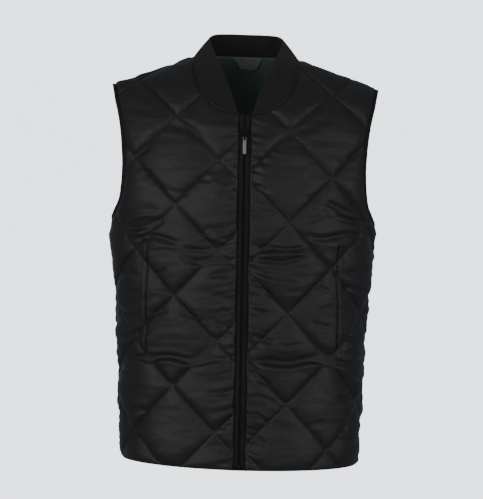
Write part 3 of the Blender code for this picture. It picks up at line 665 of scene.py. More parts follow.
def seam_points(loop, origin, step, offsets):
    """Places beside both families of stitched lines, and the lines' ways there."""
    cloth = bpy.context.scene.vest_quilt
    wide, tall = cloth.diamond_wide, cloth.diamond_tall
    low, high = loop.min(axis=0), loop.max(axis=0)
    stride = 2 * step / math.hypot(wide, tall)
    reach = int(2 * max((high[0] - low[0]) / wide, (high[1] - low[1]) / tall)) + 8
    spans = np.arange(-reach, reach), np.arange(-reach, reach, stride)
    line, run = (grid.ravel() for grid in np.meshgrid(*spans, indexing="ij"))
    spots, ways = [], []
    for sign in (1, -1):
        flat = origin + np.stack([(line - run) / 2 * sign * wide, (line + run) / 2 * tall], axis=1)
        way = unit(np.array([-sign * wide, tall]))
        across = np.array([way[1], -way[0]])
        for off in offsets:
            moved = flat + across * off
            moved = moved[(moved > low).all(axis=1) & (moved < high).all(axis=1)]
            moved = moved[inside(moved, loop)]
            moved = moved[edge_distance(moved, loop) > STITCH_EDGE]
            spots.append(moved)
            ways.append(np.repeat(way[None], len(moved), axis=0))
    return np.vstack(spots), np.vstack(ways)


def triangles(loop, free, links):
    """Triangles inside the loop that use the free points and the links."""
    points = [Vector(p) for p in np.vstack([loop, free])]
    n = len(loop)
    edges = [(a + n, b + n) for a, b in links]
    made = delaunay_2d_cdt(points, edges, [list(range(n))], 1, 1e-7)
    names = [ids[0] for ids in made[3]]
    return np.array([[names[i] for i in face] for face in made[2]])


def line_gap():
    """From one stitched line to the next of its family."""
    cloth = bpy.context.scene.vest_quilt
    return 1 / math.hypot(1 / cloth.diamond_wide, 1 / cloth.diamond_tall)


class Panel:
    """A quilted panel: its shell, its quilting, its creases and its pocket."""

    def __init__(self, shell, side, origin, creases, folds, seed, pocket):
        self.shell = shell
        self.side = side
        self.origin = np.array(origin)
        self.seed = seed
        self.pocket = pocket
        self.loop = outline(shell, EDGE_STEP)
        self.creases = [self.line_in_cloth(row) for row in creases]
        self.folds = [self.line_in_cloth(row) for row in folds]

    def line_in_cloth(self, row):
        x0, z0, x1, z1 = row[:4]
        ends = self.shell.find(np.abs([x0, x1]), np.array([z0, z1]))
        ends[:, 0] *= np.sign([x0, x1])
        return ends[0], ends[1], *row[4:]

    def seam_shares(self, flat):
        """For both families: share of the way from one line to the next, and the run."""
        cloth = bpy.context.scene.vest_quilt
        a = (flat[:, 0] - self.origin[0]) / cloth.diamond_wide
        b = (flat[:, 1] - self.origin[1]) / cloth.diamond_tall
        return [(b + a, b - a), (b - a, b + a)]

    def height(self, flat):
        """How far out the cloth's face is from its plain inside."""
        cloth = bpy.context.scene.vest_quilt
        gap = line_gap()
        p, q = flat[:, 0], flat[:, 1]
        edge = edge_distance(flat, self.loop)
        swell = cloth.puff
        pucker = 0
        nearest = np.full(len(flat), 9.0)
        for k, (line, run) in enumerate(self.seam_shares(flat)):
            share = line - np.floor(line)
            swell = swell * np.tanh(share * gap / PUFF_LOW)
            swell = swell * np.tanh((1 - share) * gap / PUFF_HIGH)
            off = (line - np.round(line)) * gap
            d = np.abs(off)
            nearest = np.minimum(nearest, d)
            along_line = run * gap + np.round(line) * 0.37
            streak = wave_noise(along_line, off, PUCKER_PITCH, PUCKER_LONG, self.seed + k)
            fade = np.tanh(d / PUCKER_START) * np.exp(-d / PUCKER_REACH)
            pucker = pucker + PUCKER_HIGH * cloth.pucker * streak * fade
        waves = 0
        for k, (wide, tall, high) in enumerate(WAVES):
            waves = waves + high * wave_noise(p, q, wide, tall, self.seed + 10 + k)
        held = np.tanh(nearest / WAVE_START)
        out = swell + pucker + (waves * held + self.crease_height(flat)) * cloth.crumple
        pinch = np.tanh(edge / EDGE_PINCH)
        if self.shell.facing < 0:
            off = np.maximum(p - ZIP_HALF, 0)
            by_zip = off < edge + ZIP_NEAR
            pinch = np.where(by_zip, np.tanh((edge + ZIP_LEFT) / ZIP_PINCH), pinch)
        out = out * pinch - GROOVE * np.exp(-((nearest / GROOVE_HALF) ** 2))
        if self.shell.facing < 0:
            for k, (pitch, reach, high) in enumerate(ZIP_PUCKERS):
                streak = wave_noise(q + (0.30 - 0.4 * k) * p, off, pitch, 0.09, self.seed + 20 + k)
                streak = streak - 0.35 * np.abs(streak)
                fade = np.exp(-off / reach) * np.tanh((off + 0.0004) / 0.003)
                out = out + high * cloth.pucker * streak * fade
        off = np.maximum(self.shell.side(q) - np.abs(p), 0)
        low = np.clip((ARMPIT - q) / 0.03, 0, 1)
        for k, (pitch, reach, high) in enumerate(SIDE_PUCKERS):
            streak = wave_noise(q + 0.2 * k * off, off, pitch, 0.07, self.seed // 100 + 30 + k)
            out = out + high * cloth.pucker * streak * low * np.exp(-off / reach)
        if self.pocket:
            out = out + self.pocket_height(flat)
        floor = EDGE_LEAST - WALL
        out = np.maximum(out, floor + 0.0004 * np.tanh((out - floor) / 0.0004))
        round_off = EDGE_ROUND
        lift = 0
        if self.shell.facing < 0:
            # the fold beside the zip is raised so that it lies on the tape
            lift = ZIP_FOLD_LIFT * ease((ZIP_HALF + ZIP_FOLD_RUN + 0.0012 - p) / ZIP_FOLD_RUN)
            by_zip = p - ZIP_HALF + ZIP_FOLD_IN < edge + 0.0008
            round_off = np.where(by_zip, ZIP_FOLD_ROUND, EDGE_ROUND)
        rounded = np.sqrt(np.maximum(1 - (1 - np.clip(edge / round_off, 0, 1)) ** 2, 0))
        return lift + EDGE_LEAST + (WALL + out - EDGE_LEAST) * rounded

    def off_line(self, flat, start, end):
        """How far above a wavering line each point is, and a share that fades at its ends."""
        long = np.linalg.norm(end - start)
        way = (end - start) / long
        t = (flat - start) @ way
        off = (flat - start) @ np.array([-way[1], way[0]])
        off = off + WAVER * np.sin(t * 70 + start[1] * 300)
        fade = ease(np.minimum(t, long - t) / (CREASE_FADE * long))
        return off, fade * (t > 0) * (t < long)

    def crease_height(self, flat):
        total = 0
        for start, end, half, high in self.creases:
            off, ends = self.off_line(flat, start, end)
            shape = (1 - 0.6 * (off / half) ** 2) * np.exp(-((off / half) ** 2) / 1.6)
            total = total + high * shape * ends
        for start, end, above, below, high in self.folds:
            off, ends = self.off_line(flat, start, end)
            half = np.where(off > 0, above, below)
            total = total + high * np.exp(-((off / half) ** 2) / 1.6) * ends
        return total

    def pocket_line(self, q):
        """How far across the pocket's slit is at this height."""
        z = np.clip(q, POCKET_LOW - POCKET_PAST, POCKET_HIGH + POCKET_PAST)
        return self.shell.find(np.full(len(z), POCKET_X), z)[:, 0]

    def pocket_height(self, flat):
        """The cloth dips along the slit and puckers towards it."""
        q = flat[:, 1]
        knots = np.linspace(POCKET_LOW - POCKET_PAST, POCKET_HIGH + POCKET_PAST, 24)
        middle = np.interp(q, knots, self.pocket_line(knots))
        off = flat[:, 0] - middle
        span = ease((q - POCKET_LOW + 0.006) / 0.012) * ease((POCKET_HIGH + 0.006 - q) / 0.012)
        slit = off - POCKET_SLIT
        dip = -POCKET_DIP * np.exp(-((slit / POCKET_SLIT_HALF) ** 2)) * span
        streak = wave_noise(q + 0.3 * off, off, POCKET_PITCH, 0.07, self.seed + 40)
        d = np.abs(slit)
        fade = np.exp(-d / POCKET_REACH) * np.tanh(d / 0.003)
        return dip + POCKET_PUCKER * streak * fade * span

    def face(self, flat, extra=0.0):
        """Points of the outer face, a little further out if asked."""
        base, out = self.shell.stand(flat)
        return (base + out * (self.height(flat) + extra)[:, None]) * [self.side, 1, 1]

    def out(self, flat):
        return self.shell.normal(flat[:, 0], flat[:, 1]) * [self.side, 1, 1]

    def nearest_line(self, flat):
        """Distances to the nearest and to the other family of stitched lines."""
        offs = [np.abs(line - np.round(line)) * line_gap() for line, _ in self.seam_shares(flat)]
        return np.minimum(*offs), np.maximum(*offs)

    def cleared(self, free, links):
        """The lattice without the points that crowd a stitched line or the pocket's slit."""
        near, _ = self.nearest_line(free)
        keep = near > SEAM_KEEP
        if self.pocket:
            ups, middle = self.slit()
            offs = np.interp(free[:, 1], ups, middle, left=9.0, right=9.0) - free[:, 0]
            keep &= np.abs(offs) > SEAM_KEEP
        keep |= near < 1e-6
        names = np.cumsum(keep) - 1
        return free[keep], [(names[a], names[b]) for a, b in links]

    def apart(self, beside):
        """The points beside the stitched lines that don't crowd a crossing."""
        _, other = self.nearest_line(beside)
        return beside[other > SEAM_KEEP]

    def slit(self):
        """The pocket's slit: places up it, and how far across each is."""
        ups = between(POCKET_LOW - 0.004, POCKET_HIGH + 0.004, SEAM_STEP)
        return ups, self.pocket_line(ups) + POCKET_SLIT

    def slit_points(self):
        """Close rows of points along the pocket's slit."""
        ups, middle = self.slit()
        rows = np.vstack([np.stack([middle + off, ups], axis=1) for off in SLIT_ROWS])
        near, _ = self.nearest_line(rows)
        return rows[near > SEAM_KEEP]

    def build(self, name):
        """The outer face, a coarser inside face and the rim between them."""
        free, links = lattice(self.loop, self.origin, PANEL_CELLS, CELL_CLEAR)
        free, links = self.cleared(free, links)
        beside, _ = seam_points(self.loop, self.origin, SEAM_STEP, SEAM_ROWS)
        free = np.vstack([free, self.apart(beside)])
        if self.pocket:
            free = np.vstack([free, self.slit_points()])
        outer_faces = triangles(self.loop, free, links)
        flat = np.vstack([self.loop, free])
        outer = self.face(flat)
        coarse, _ = lattice(self.loop, self.origin, INNER_CELLS, COARSE_CLEAR)
        inner_faces = triangles(self.loop, coarse, [])
        inner_flat = np.vstack([self.loop, coarse])
        inner = self.shell.place(inner_flat[:, 0], inner_flat[:, 1]) * [self.side, 1, 1]
        m = len(outer)
        ring = np.arange(len(self.loop))
        after = np.roll(ring, -1)
        rim = np.vstack([
            np.stack([ring, m + ring, m + after], axis=1),
            np.stack([ring, m + after, after], axis=1),
        ])
        faces = np.vstack([outer_faces, inner_faces[:, ::-1] + m, rim])
        cloth = np.vstack([flat, inner_flat])
        item = new_mesh(name, np.vstack([outer, inner]), faces, cloth)
        slots = np.zeros(len(faces), int)
        slots[len(outer_faces):len(outer_faces) + len(inner_faces)] = 1
        return finish_mesh(item, slots)


def place_in_scene(name, data):
    item = bpy.data.objects.new(name, data)
    bpy.context.scene.collection.objects.link(item)
    return item


def shade_smooth(mesh):
    mesh.polygons.foreach_set("use_smooth", np.ones(len(mesh.polygons), bool))


def new_mesh(name, points, faces, cloth):
    """A mesh object whose cloth measures are kept in a UV layer, in metres."""
    mesh = bpy.data.meshes.new(name)
    faces = [tuple(int(k) for k in face) for face in faces]
    mesh.from_pydata(np.asarray(points).tolist(), [], faces)
    layer = mesh.uv_layers.new(name="cloth")
    corners = np.zeros(len(mesh.loops), np.int32)
    mesh.loops.foreach_get("vertex_index", corners)
    layer.data.foreach_set("uv", np.asarray(cloth, np.float32)[corners].ravel())
    return place_in_scene(name, mesh)


def finish_mesh(item, slots=None):
    """Faces turned out, shaded smooth, and each face given its material's place."""
    work = bmesh.new()
    work.from_mesh(item.data)
    bmesh.ops.recalc_face_normals(work, faces=work.faces)
    work.to_mesh(item.data)
    work.free()
    shade_smooth(item.data)
    if slots is not None:
        item.data.polygons.foreach_set("material_index", np.asarray(slots, np.int32))
    item.data.update()
    return item


def rings_mesh(name, rings, cloth, closed=False):
    """A mesh through rings of as many points each."""
    rings = np.asarray(rings)
    count, n = rings.shape[:2]
    faces = []
    for i in range(count if closed else count - 1):
        a = i * n
        b = (i + 1) % count * n
        faces += [(a + k, a + (k + 1) % n, b + (k + 1) % n, b + k) for k in range(n)]
    if not closed:
        faces += [tuple(range(n))[::-1], tuple((count - 1) * n + k for k in range(n))]
    cloth = np.asarray(cloth).reshape(-1, 2)
    return finish_mesh(new_mesh(name, rings.reshape(-1, 3), faces, cloth))


class Nodes:
    """Short calls that add and join the nodes of one tree."""

    def __init__(self, tree):
        self.tree = tree

    def add(self, kind, **values):
        node = self.tree.nodes.new(kind)
        for key, value in values.items():
            setattr(node, key, value)
        return node

    def join(self, source, target):
        self.tree.links.new(source, target)

    def give(self, node, values):
        """Sockets of a node set to numbers, or joined to other nodes' results."""
        for name, value in values.items():
            if isinstance(value, bpy.types.NodeSocket):
                self.join(value, node.inputs[name])
            else:
                node.inputs[name].default_value = value

    def math(self, operation, *values):
        node = self.add("ShaderNodeMath", operation=operation)
        for socket, value in zip(node.inputs, values):
            if isinstance(value, (int, float)):
                socket.default_value = value
            else:
                self.join(value, socket)
        return node.outputs[0]

    def noise(self, vector, scale, detail=2.0, roughness=0.5, **values):
        node = self.add("ShaderNodeTexNoise", **values)
        self.give(node, {"Scale": scale, "Detail": detail})
        self.give(node, {"Roughness": roughness, "Vector": vector})
        return node.outputs["Fac"]


def group_tree(name, numbers, results):
    """A shader node group with named number inputs and outputs."""
    tree = bpy.data.node_groups.new(name, "ShaderNodeTree")
    for label, value in numbers:
        socket = tree.interface.new_socket(label, in_out="INPUT", socket_type="NodeSocketFloat")
        socket.default_value = value
    for label in results:
        tree.interface.new_socket(label, in_out="OUTPUT", socket_type="NodeSocketFloat")
    nodes = Nodes(tree)
    return nodes, nodes.add("NodeGroupInput"), nodes.add("NodeGroupOutput")


def cloth_axes(nodes):
    place = nodes.add("ShaderNodeUVMap", uv_map="cloth")
    split = nodes.add("ShaderNodeSeparateXYZ")
    nodes.join(place.outputs["UV"], split.inputs[0])
    return place.outputs["UV"], split.outputs["X"], split.outputs["Y"]


def build_weave_group():
    """Plain weave: threads that pass over and under each other, and slubs."""
    numbers = (("Pitch", 0.0006), ("Uneven", 0.3))
    nodes, given, out = group_tree("Weave", numbers, ("Height", "Tone"))
    uv, x, y = cloth_axes(nodes)
    pitch = given.outputs["Pitch"]
    waves = []
    for axis in (x, y):
        turned = nodes.math("MULTIPLY", nodes.math("DIVIDE", axis, pitch), 2 * math.pi)
        waves.append(nodes.math("SINE", turned))
    weave = nodes.math("MULTIPLY", waves[0], waves[1])
    slub = nodes.noise(uv, 90.0, 3.0, 0.6)
    rough = nodes.math("MULTIPLY", nodes.math("SUBTRACT", slub, 0.5), given.outputs["Uneven"])
    nodes.join(nodes.math("ADD", weave, nodes.math("MULTIPLY", rough, 4.0)), out.inputs["Height"])
    nodes.join(rough, out.inputs["Tone"])
    return nodes.tree


def build_twill_group():
    """Herringbone of a woven tape: slanted threads that turn back in columns."""
    numbers = (("Pitch", 0.0009), ("Column", 0.0024))
    nodes, given, out = group_tree("Twill", numbers, ("Height",))
    _, x, y = cloth_axes(nodes)
    fold = nodes.math("PINGPONG", x, given.outputs["Column"])
    slant = nodes.math("DIVIDE", nodes.math("ADD", fold, y), given.outputs["Pitch"])
    turned = nodes.math("MULTIPLY", slant, 2 * math.pi)
    nodes.join(nodes.math("SINE", turned), out.inputs["Height"])
    return nodes.tree


def build_wear_group():
    """Cloudy handling marks: a slow change of tone, and a finer one of gloss."""
    nodes, given, out = group_tree("Handling", (("Size", 14.0),), ("Tone", "Gloss"))
    place = nodes.add("ShaderNodeTexCoord").outputs["Object"]
    wide = nodes.noise(place, given.outputs["Size"], 3.0)
    fine = nodes.noise(place, 160.0)
    nodes.join(nodes.math("SUBTRACT", wide, 0.5), out.inputs["Tone"])
    nodes.join(nodes.math("SUBTRACT", fine, 0.5), out.inputs["Gloss"])
    return nodes.tree


def build_crush_group():
    """Fine crumples that are too small for the mesh, drawn across the cloth."""
    nodes, given, out = group_tree("Crush", (("Size", 60.0), ("Stretch", 2.2)), ("Height",))
    _, x, y = cloth_axes(nodes)
    bent = nodes.add("ShaderNodeCombineXYZ")
    nodes.give(bent, {"X": x, "Y": nodes.math("MULTIPLY", y, given.outputs["Stretch"])})
    noise = nodes.noise(bent.outputs[0], given.outputs["Size"], noise_type="RIDGED_MULTIFRACTAL")
    nodes.join(noise, out.inputs["Height"])
    return nodes.tree


GROUPS = {
    "Weave": build_weave_group,
    "Twill": build_twill_group,
    "Handling": build_wear_group,
    "Crush": build_crush_group,
}


def use_group(nodes, name, **numbers):
    tree = bpy.data.node_groups.get(name) or GROUPS[name]()
    node = nodes.add("ShaderNodeGroup", node_tree=tree)
    nodes.give(node, numbers)
    return node


def bump(nodes, height, strength, distance, under=None):
    node = nodes.add("ShaderNodeBump")
    nodes.give(node, {"Strength": strength, "Distance": distance, "Height": height})
    if under is not None:
        nodes.join(under, node.inputs["Normal"])
    return node.outputs["Normal"]


def toned(nodes, colour, tone, depth):
    """The colour, made a little lighter and darker by the tone."""
    node = nodes.add("ShaderNodeMix", data_type="RGBA", blend_type="MIX")
    sockets = {socket.identifier: socket for socket in [*node.inputs, *node.outputs]}
    sockets["A_Color"].default_value = (*[c * (1 - depth) for c in colour], 1)
    sockets["B_Color"].default_value = (*[c * (1 + depth) for c in colour], 1)
    nodes.join(nodes.math("ADD", tone, 0.5), sockets["Factor_Float"])
    return sockets["Result_Color"]


def start_material(name):
    material = bpy.data.materials.new(name)
    material.use_nodes = True
    return material, Nodes(material.node_tree), material.node_tree.nodes["Principled BSDF"]


def satin_material():
    """Black nylon satin: a soft broad sheen over a fine weave."""
    cloth = bpy.context.scene.vest_quilt
    material, nodes, shader = start_material("vest_satin")
    weave = use_group(nodes, "Weave", Pitch=0.0007, Uneven=0.35).outputs
    wear = use_group(nodes, "Handling", Size=11.0).outputs
    crush = use_group(nodes, "Crush", Size=46.0, Stretch=2.4).outputs
    gloss = nodes.math("MULTIPLY", wear["Gloss"], 0.10)
    slow = nodes.math("MULTIPLY", wear["Tone"], 0.14)
    small = bump(nodes, weave["Height"], 0.10, 0.00010)
    tone = nodes.math("ADD", wear["Tone"], weave["Tone"])
    nodes.give(shader, {
        "Base Color": toned(nodes, cloth.colour, tone, 0.30),
        "Roughness": nodes.math("ADD", nodes.math("ADD", gloss, slow), cloth.roughness),
        "Normal": bump(nodes, crush["Height"], 0.32, 0.0008, small),
        "Sheen Weight": cloth.sheen,
        "Sheen Roughness": 0.45,
        "Sheen Tint": (0.80, 0.84, 1.0, 1.0),
        "Specular IOR Level": cloth.gloss,
    })
    return material


def lining_material():
    """The dark plain inside."""
    material, nodes, shader = start_material("vest_lining")
    weave = use_group(nodes, "Weave", Pitch=0.0008, Uneven=0.3).outputs
    wear = use_group(nodes, "Handling", Size=9.0).outputs
    nodes.give(shader, {
        "Base Color": toned(nodes, (0.0930, 0.1350, 0.1120), wear["Tone"], 0.3),
        "Roughness": nodes.math("MULTIPLY_ADD", wear["Gloss"], 0.1, 0.72),
        "Normal": bump(nodes, weave["Height"], 0.12, 0.0001),
        "Specular IOR Level": 0.25,
    })
    return material


def rib_material():
    """Matt fine rib knit with a little fuzz."""
    material, nodes, shader = start_material("vest_rib")
    weave = use_group(nodes, "Weave", Pitch=0.0011, Uneven=0.9).outputs
    wear = use_group(nodes, "Handling", Size=16.0).outputs
    colour = bpy.context.scene.vest_trim.rib_colour
    nodes.give(shader, {
        "Base Color": toned(nodes, colour, nodes.math("ADD", wear["Tone"], weave["Tone"]), 0.35),
        "Normal": bump(nodes, weave["Height"], 0.35, 0.0003),
        "Roughness": 0.92,
        "Sheen Weight": 0.10,
        "Sheen Roughness": 0.6,
        "Specular IOR Level": 0.25,
    })
    return material


def tape_material(name, colour, roughness):
    """Woven tape: the zip's tapes and the armhole binding."""
    material, nodes, shader = start_material(name)
    twill = use_group(nodes, "Twill", Pitch=0.0011, Column=0.0023).outputs
    wear = use_group(nodes, "Handling", Size=20.0).outputs
    nodes.give(shader, {
        "Base Color": toned(nodes, colour, wear["Tone"], 0.35),
        "Normal": bump(nodes, twill["Height"], 0.35, 0.0002),
        "Roughness": roughness,
        "Specular IOR Level": 0.3,
    })
    return material


def thread_material():
    material, nodes, shader = start_material("vest_thread")
    wear = use_group(nodes, "Handling", Size=40.0).outputs
    nodes.give(shader, {
        "Base Color": toned(nodes, (0.010, 0.010, 0.011), wear["Tone"], 0.4),
        "Normal": bump(nodes, wear["Gloss"], 0.3, 0.0002),
        "Roughness": 0.55,
    })
    return material


def hard_material(name, colour, roughness, metallic, scratch):
    """Painted or bare metal and nylon, brushed along its length and rubbed here and there."""
    material, nodes, shader = start_material(name)
    drawn = nodes.add("ShaderNodeMapping")
    place = nodes.add("ShaderNodeTexCoord").outputs["Object"]
    nodes.give(drawn, {"Scale": (40.0, 40.0, 3.0), "Vector": place})
    brushed = nodes.noise(drawn.outputs["Vector"], 60.0, 3.0)
    wear = use_group(nodes, "Handling", Size=120.0).outputs
    uneven = nodes.math("MULTIPLY", nodes.math("SUBTRACT", brushed, 0.5), 0.25)
    nodes.give(shader, {
        "Base Color": toned(nodes, colour, wear["Tone"], scratch),
        "Roughness": nodes.math("ADD", uneven, roughness),
        "Normal": bump(nodes, brushed, 0.15, 0.00005),
        "Metallic": metallic,
        "Specular IOR Level": 0.25,
    })
    return material


def label_material():
    """Plain woven satin, nothing on it."""
    material, nodes, shader = start_material("vest_label")
    weave = use_group(nodes, "Weave", Pitch=0.0005, Uneven=0.4).outputs
    wear = use_group(nodes, "Handling", Size=60.0).outputs
    colour = bpy.context.scene.vest_trim.label_colour
    nodes.give(shader, {
        "Base Color": toned(nodes, colour, wear["Tone"], 0.35),
        "Normal": bump(nodes, weave["Height"], 0.15, 0.0001),
        "Roughness": 0.35,
        "Sheen Weight": 0.2,
    })
    return material


MATERIAL_MAKERS = {
    "satin": satin_material,
    "lining": lining_material,
    "rib": rib_material,
    "binding": lambda: tape_material("vest_binding", (0.0095, 0.0095, 0.0100), 0.62),
    "tape": lambda: tape_material("vest_tape", (0.0155, 0.0163, 0.0155), 0.88),
    "thread": thread_material,
    "coil": lambda: hard_material("vest_coil", (0.005, 0.005, 0.005), 0.45, 0.0, 0.3),
    "slider": lambda: hard_material("vest_slider", (0.0025, 0.0025, 0.0025), 0.70, 0.0, 0.3),
    "pull": lambda: hard_material("vest_pull", (0.33, 0.34, 0.33), 0.42, 0.85, 0.25),
    "label": label_material,
}
MADE = {}


def material(name):
    if name not in MADE:
        MADE[name] = MATERIAL_MAKERS[name]()
    return MADE[name]


def wear_of(item, *names):
    if item.data.materials:
        item.data.materials.clear()
    for name in names:
        item.data.materials.append(material(name))


def on_garment(item, slot, *replaced):
    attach(item, "garment")
    if replaced:
        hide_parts(*replaced)


def stitch_tree():
    """Geometry Nodes that put one rounded stitch on each point, turned to its run."""
    tree = bpy.data.node_groups.new("Stitches", "GeometryNodeTree")
    face = tree.interface
    face.new_socket("Points", in_out="INPUT", socket_type="NodeSocketGeometry")
    numbers = {"Length": 0.0026, "Width": 0.0005, "Height": 0.0004, "Uneven": 0.12}
    for label, value in numbers.items():
        socket = face.new_socket(label, in_out="INPUT", socket_type="NodeSocketFloat")
        socket.default_value = value
    face.new_socket("Seed", in_out="INPUT", socket_type="NodeSocketInt").default_value = 3
    face.new_socket("Material", in_out="INPUT", socket_type="NodeSocketMaterial")
    face.new_socket("Stitches", in_out="OUTPUT", socket_type="NodeSocketGeometry")
    nodes = Nodes(tree)
    given = nodes.add("NodeGroupInput")
    out = nodes.add("NodeGroupOutput")
    points = nodes.add("GeometryNodeMeshToPoints")
    nodes.join(given.outputs["Points"], points.inputs["Mesh"])
    ball = nodes.add("GeometryNodeMeshUVSphere")
    nodes.give(ball, {"Segments": 6, "Rings": 4, "Radius": 0.5})
    turned = None
    for axis, name in (("X", "run"), ("Z", "facing")):
        read = nodes.add("GeometryNodeInputNamedAttribute", data_type="FLOAT_VECTOR")
        turn = nodes.add("FunctionNodeAlignRotationToVector", axis=axis)
        nodes.give(read, {"Name": name})
        nodes.give(turn, {"Vector": read.outputs["Attribute"]})
        if turned is not None:
            turn.pivot_axis = "X"
            nodes.give(turn, {"Rotation": turned})
        turned = turn.outputs["Rotation"]
    uneven = nodes.add("FunctionNodeRandomValue", data_type="FLOAT")
    least = nodes.math("SUBTRACT", 1.0, given.outputs["Uneven"])
    nodes.give(uneven, {"Seed": given.outputs["Seed"], 2: least})
    size = nodes.add("ShaderNodeCombineXYZ")
    nodes.give(size, {
        "X": nodes.math("MULTIPLY", given.outputs["Length"], uneven.outputs[1]),
        "Y": given.outputs["Width"],
        "Z": given.outputs["Height"],
    })
    copies = nodes.add("GeometryNodeInstanceOnPoints")
    nodes.give(copies, {"Points": points.outputs["Points"], "Instance": ball.outputs["Mesh"],
                        "Rotation": turned, "Scale": size.outputs[0]})
    real = nodes.add("GeometryNodeRealizeInstances")
    nodes.give(real, {"Geometry": copies.outputs["Instances"]})
    painted = nodes.add("GeometryNodeSetMaterial")
    nodes.give(painted, {"Geometry": real.outputs["Geometry"],
                         "Material": given.outputs["Material"]})
    nodes.join(painted.outputs["Geometry"], out.inputs["Stitches"])
    return tree


def stitches(name, spots, runs, facings, size, seed, material_name="thread"):
    """Separate stitches on the spots, as one plain mesh."""
    mesh = bpy.data.meshes.new(name + "_spots")
    mesh.from_pydata(np.asarray(spots).tolist(), [], [])
    for label, values in (("run", runs), ("facing", facings)):
        layer = mesh.attributes.new(label, "FLOAT_VECTOR", "POINT")
        layer.data.foreach_set("vector", np.asarray(values, np.float32).ravel())
    holder = place_in_scene(name + "_spots", mesh)
    tree = bpy.data.node_groups.get("Stitches") or stitch_tree()
    modifier = holder.modifiers.new("Stitches", "NODES")
    modifier.node_group = tree
    wanted = {"Length": size[0], "Width": size[1], "Height": size[2], "Seed": seed,
              "Material": material(material_name)}
    for socket in tree.interface.items_tree:
        if socket.in_out == "INPUT" and socket.name in wanted:
            modifier[socket.identifier] = wanted[socket.name]
    graph = bpy.context.evaluated_depsgraph_get()
    made = bpy.data.meshes.new_from_object(holder.evaluated_get(graph))
    bpy.data.objects.remove(holder)
    if not made.polygons:
        raise RuntimeError(name + " came out empty")
    shade_smooth(made)
    item = place_in_scene(name, made)
    wear_of(item, material_name)
    on_garment(item, "binding_tape")


# Collar, bindings, pockets and zip, each over the solid that it stands for.
COLLAR_THICK = 0.0024
COLLAR_STEP = 0.00058
COLLAR_ROWS = 22
COLLAR_FOLD_POINTS = 5
COLLAR_TURN = 0.975
COLLAR_TALL = 0.045
COLLAR_BULGE = 0.0018
COLLAR_FULL = 0.030
RIB_FULL = 0.014
SEAM_CORD = 0.0014
SEAM_CORD_OUT = 0.0034
BINDING_THICK = 0.0042
BINDING_POINTS = 14
BINDING_LAP = 0.0014
BINDING_STITCH_IN = 0.00432
BINDING_SEAT = 0.55
WELT_HALF = 0.0045
WELT_OUT = 0.0005
TAPE_INNER = 0.0014
TAPE_OUTER = 0.0107
TAPE_LOW = 0.0009
TAPE_HIGH = 0.0021
TAPE_TOP = -0.0950
TAPE_POINTS = 9
TAPE_ROLL = 0.0011
TAPE_GROOVE = 0.0006
TAPE_WAVE = 0.00025
ZIP_STEP = 0.003
TOOTH_PITCH = 0.0013
TOOTH_SIZE = (0.0040, 0.00135, 0.0012)
TEETH_TOP = -0.1386
STITCH_STEP = 0.0033
STITCH_SIZE = (0.0027, 0.00055, 0.00040)
TRIM_STITCH_SIZE = (0.0023, 0.00050, 0.00040)
TACK_SIZE = (0.0085, 0.00060, 0.00070)
TACK_COUNT = 9
TACK_STEP = 0.0006
LABEL_TOP_HALF = 0.0240
LABEL_FOOT_HALF = 0.0135
LABEL_TALL = 0.0230
LABEL_SHIFT = 0.0020
LABEL_FOOT_SHIFT = 0.0050
LABEL_START = 0.0012
LABEL_CLEAR = 0.0007
LABEL_SWING = 0.0042
LABEL_CURL = 0.0020
LABEL_WAVE = 0.0007
LABEL_THICK = 0.0006

# Soft drape of the whole vest.
LEAN = 0.015
SHOULDER_SAG = 0.0062

FRONT = Shell(-1, "front_depth")
BACK = Shell(1, "back_depth")
PANELS = {}


def panel_of(name):
    """The panel of this name, worked out once."""
    rows = {
        "front_right": (FRONT, -1, QUILT_RIGHT, RIGHT_CREASES, RIGHT_FOLDS, 100, True),
        "front_left": (FRONT, 1, QUILT_LEFT, LEFT_CREASES, LEFT_FOLDS, 200, True),
        "back": (BACK, 1, QUILT_BACK, BACK_CREASES, BACK_FOLDS, 300, False),
    }
    if name not in PANELS:
        PANELS[name] = Panel(*rows[name])
    return PANELS[name]


def make_panel(name):
    """A quilted panel, with running stitches along both families of its lines."""
    panel = panel_of(name)
    item = panel.build(name + "_cloth")
    wear_of(item, "satin", "lining")
    on_garment(item, "shell_satin", name)
    flat, way = seam_points(panel.loop, panel.origin, STITCH_STEP, (0.0,))
    lay_stitches(name + "_quilting", panel, flat, way, STITCH_SIZE, panel.seed)


def lay_stitches(name, panel, flat, way, size, seed, lift=0.0001):
    """Stitches on a panel's face, along the given directions in the cloth."""
    here = panel.face(flat, lift)
    ahead = panel.face(flat + way * 0.0008, lift)
    stitches(name, here, unit(ahead - here), panel.out(flat), size, seed)


def neck_stations(step):
    """Seam points of half the collar, the cloth's outward way there, and their run."""
    seam = []
    for shell in (FRONT, BACK):
        line = in_steps(neck_line, shell, step)
        inward = neck_inward(shell, line)
        if shell is BACK:
            line, inward = line[::-1][1:], inward[::-1][1:]
        seam.append(shell.stand(line - inward * GAP))
    starts, outs = (np.vstack(rows) for rows in zip(*seam))
    starts[0, 0] = ZIP_HALF + GAP
    return starts, unit(smoothed(outs, 12)), run_along(starts)


def smoothed(rows, times):
    """The rows with each drawn towards its neighbours, the ends kept."""
    rows = rows.copy()
    for _ in range(times):
        rows[1:-1] = 0.5 * rows[1:-1] + 0.25 * (rows[:-2] + rows[2:])
    return rows


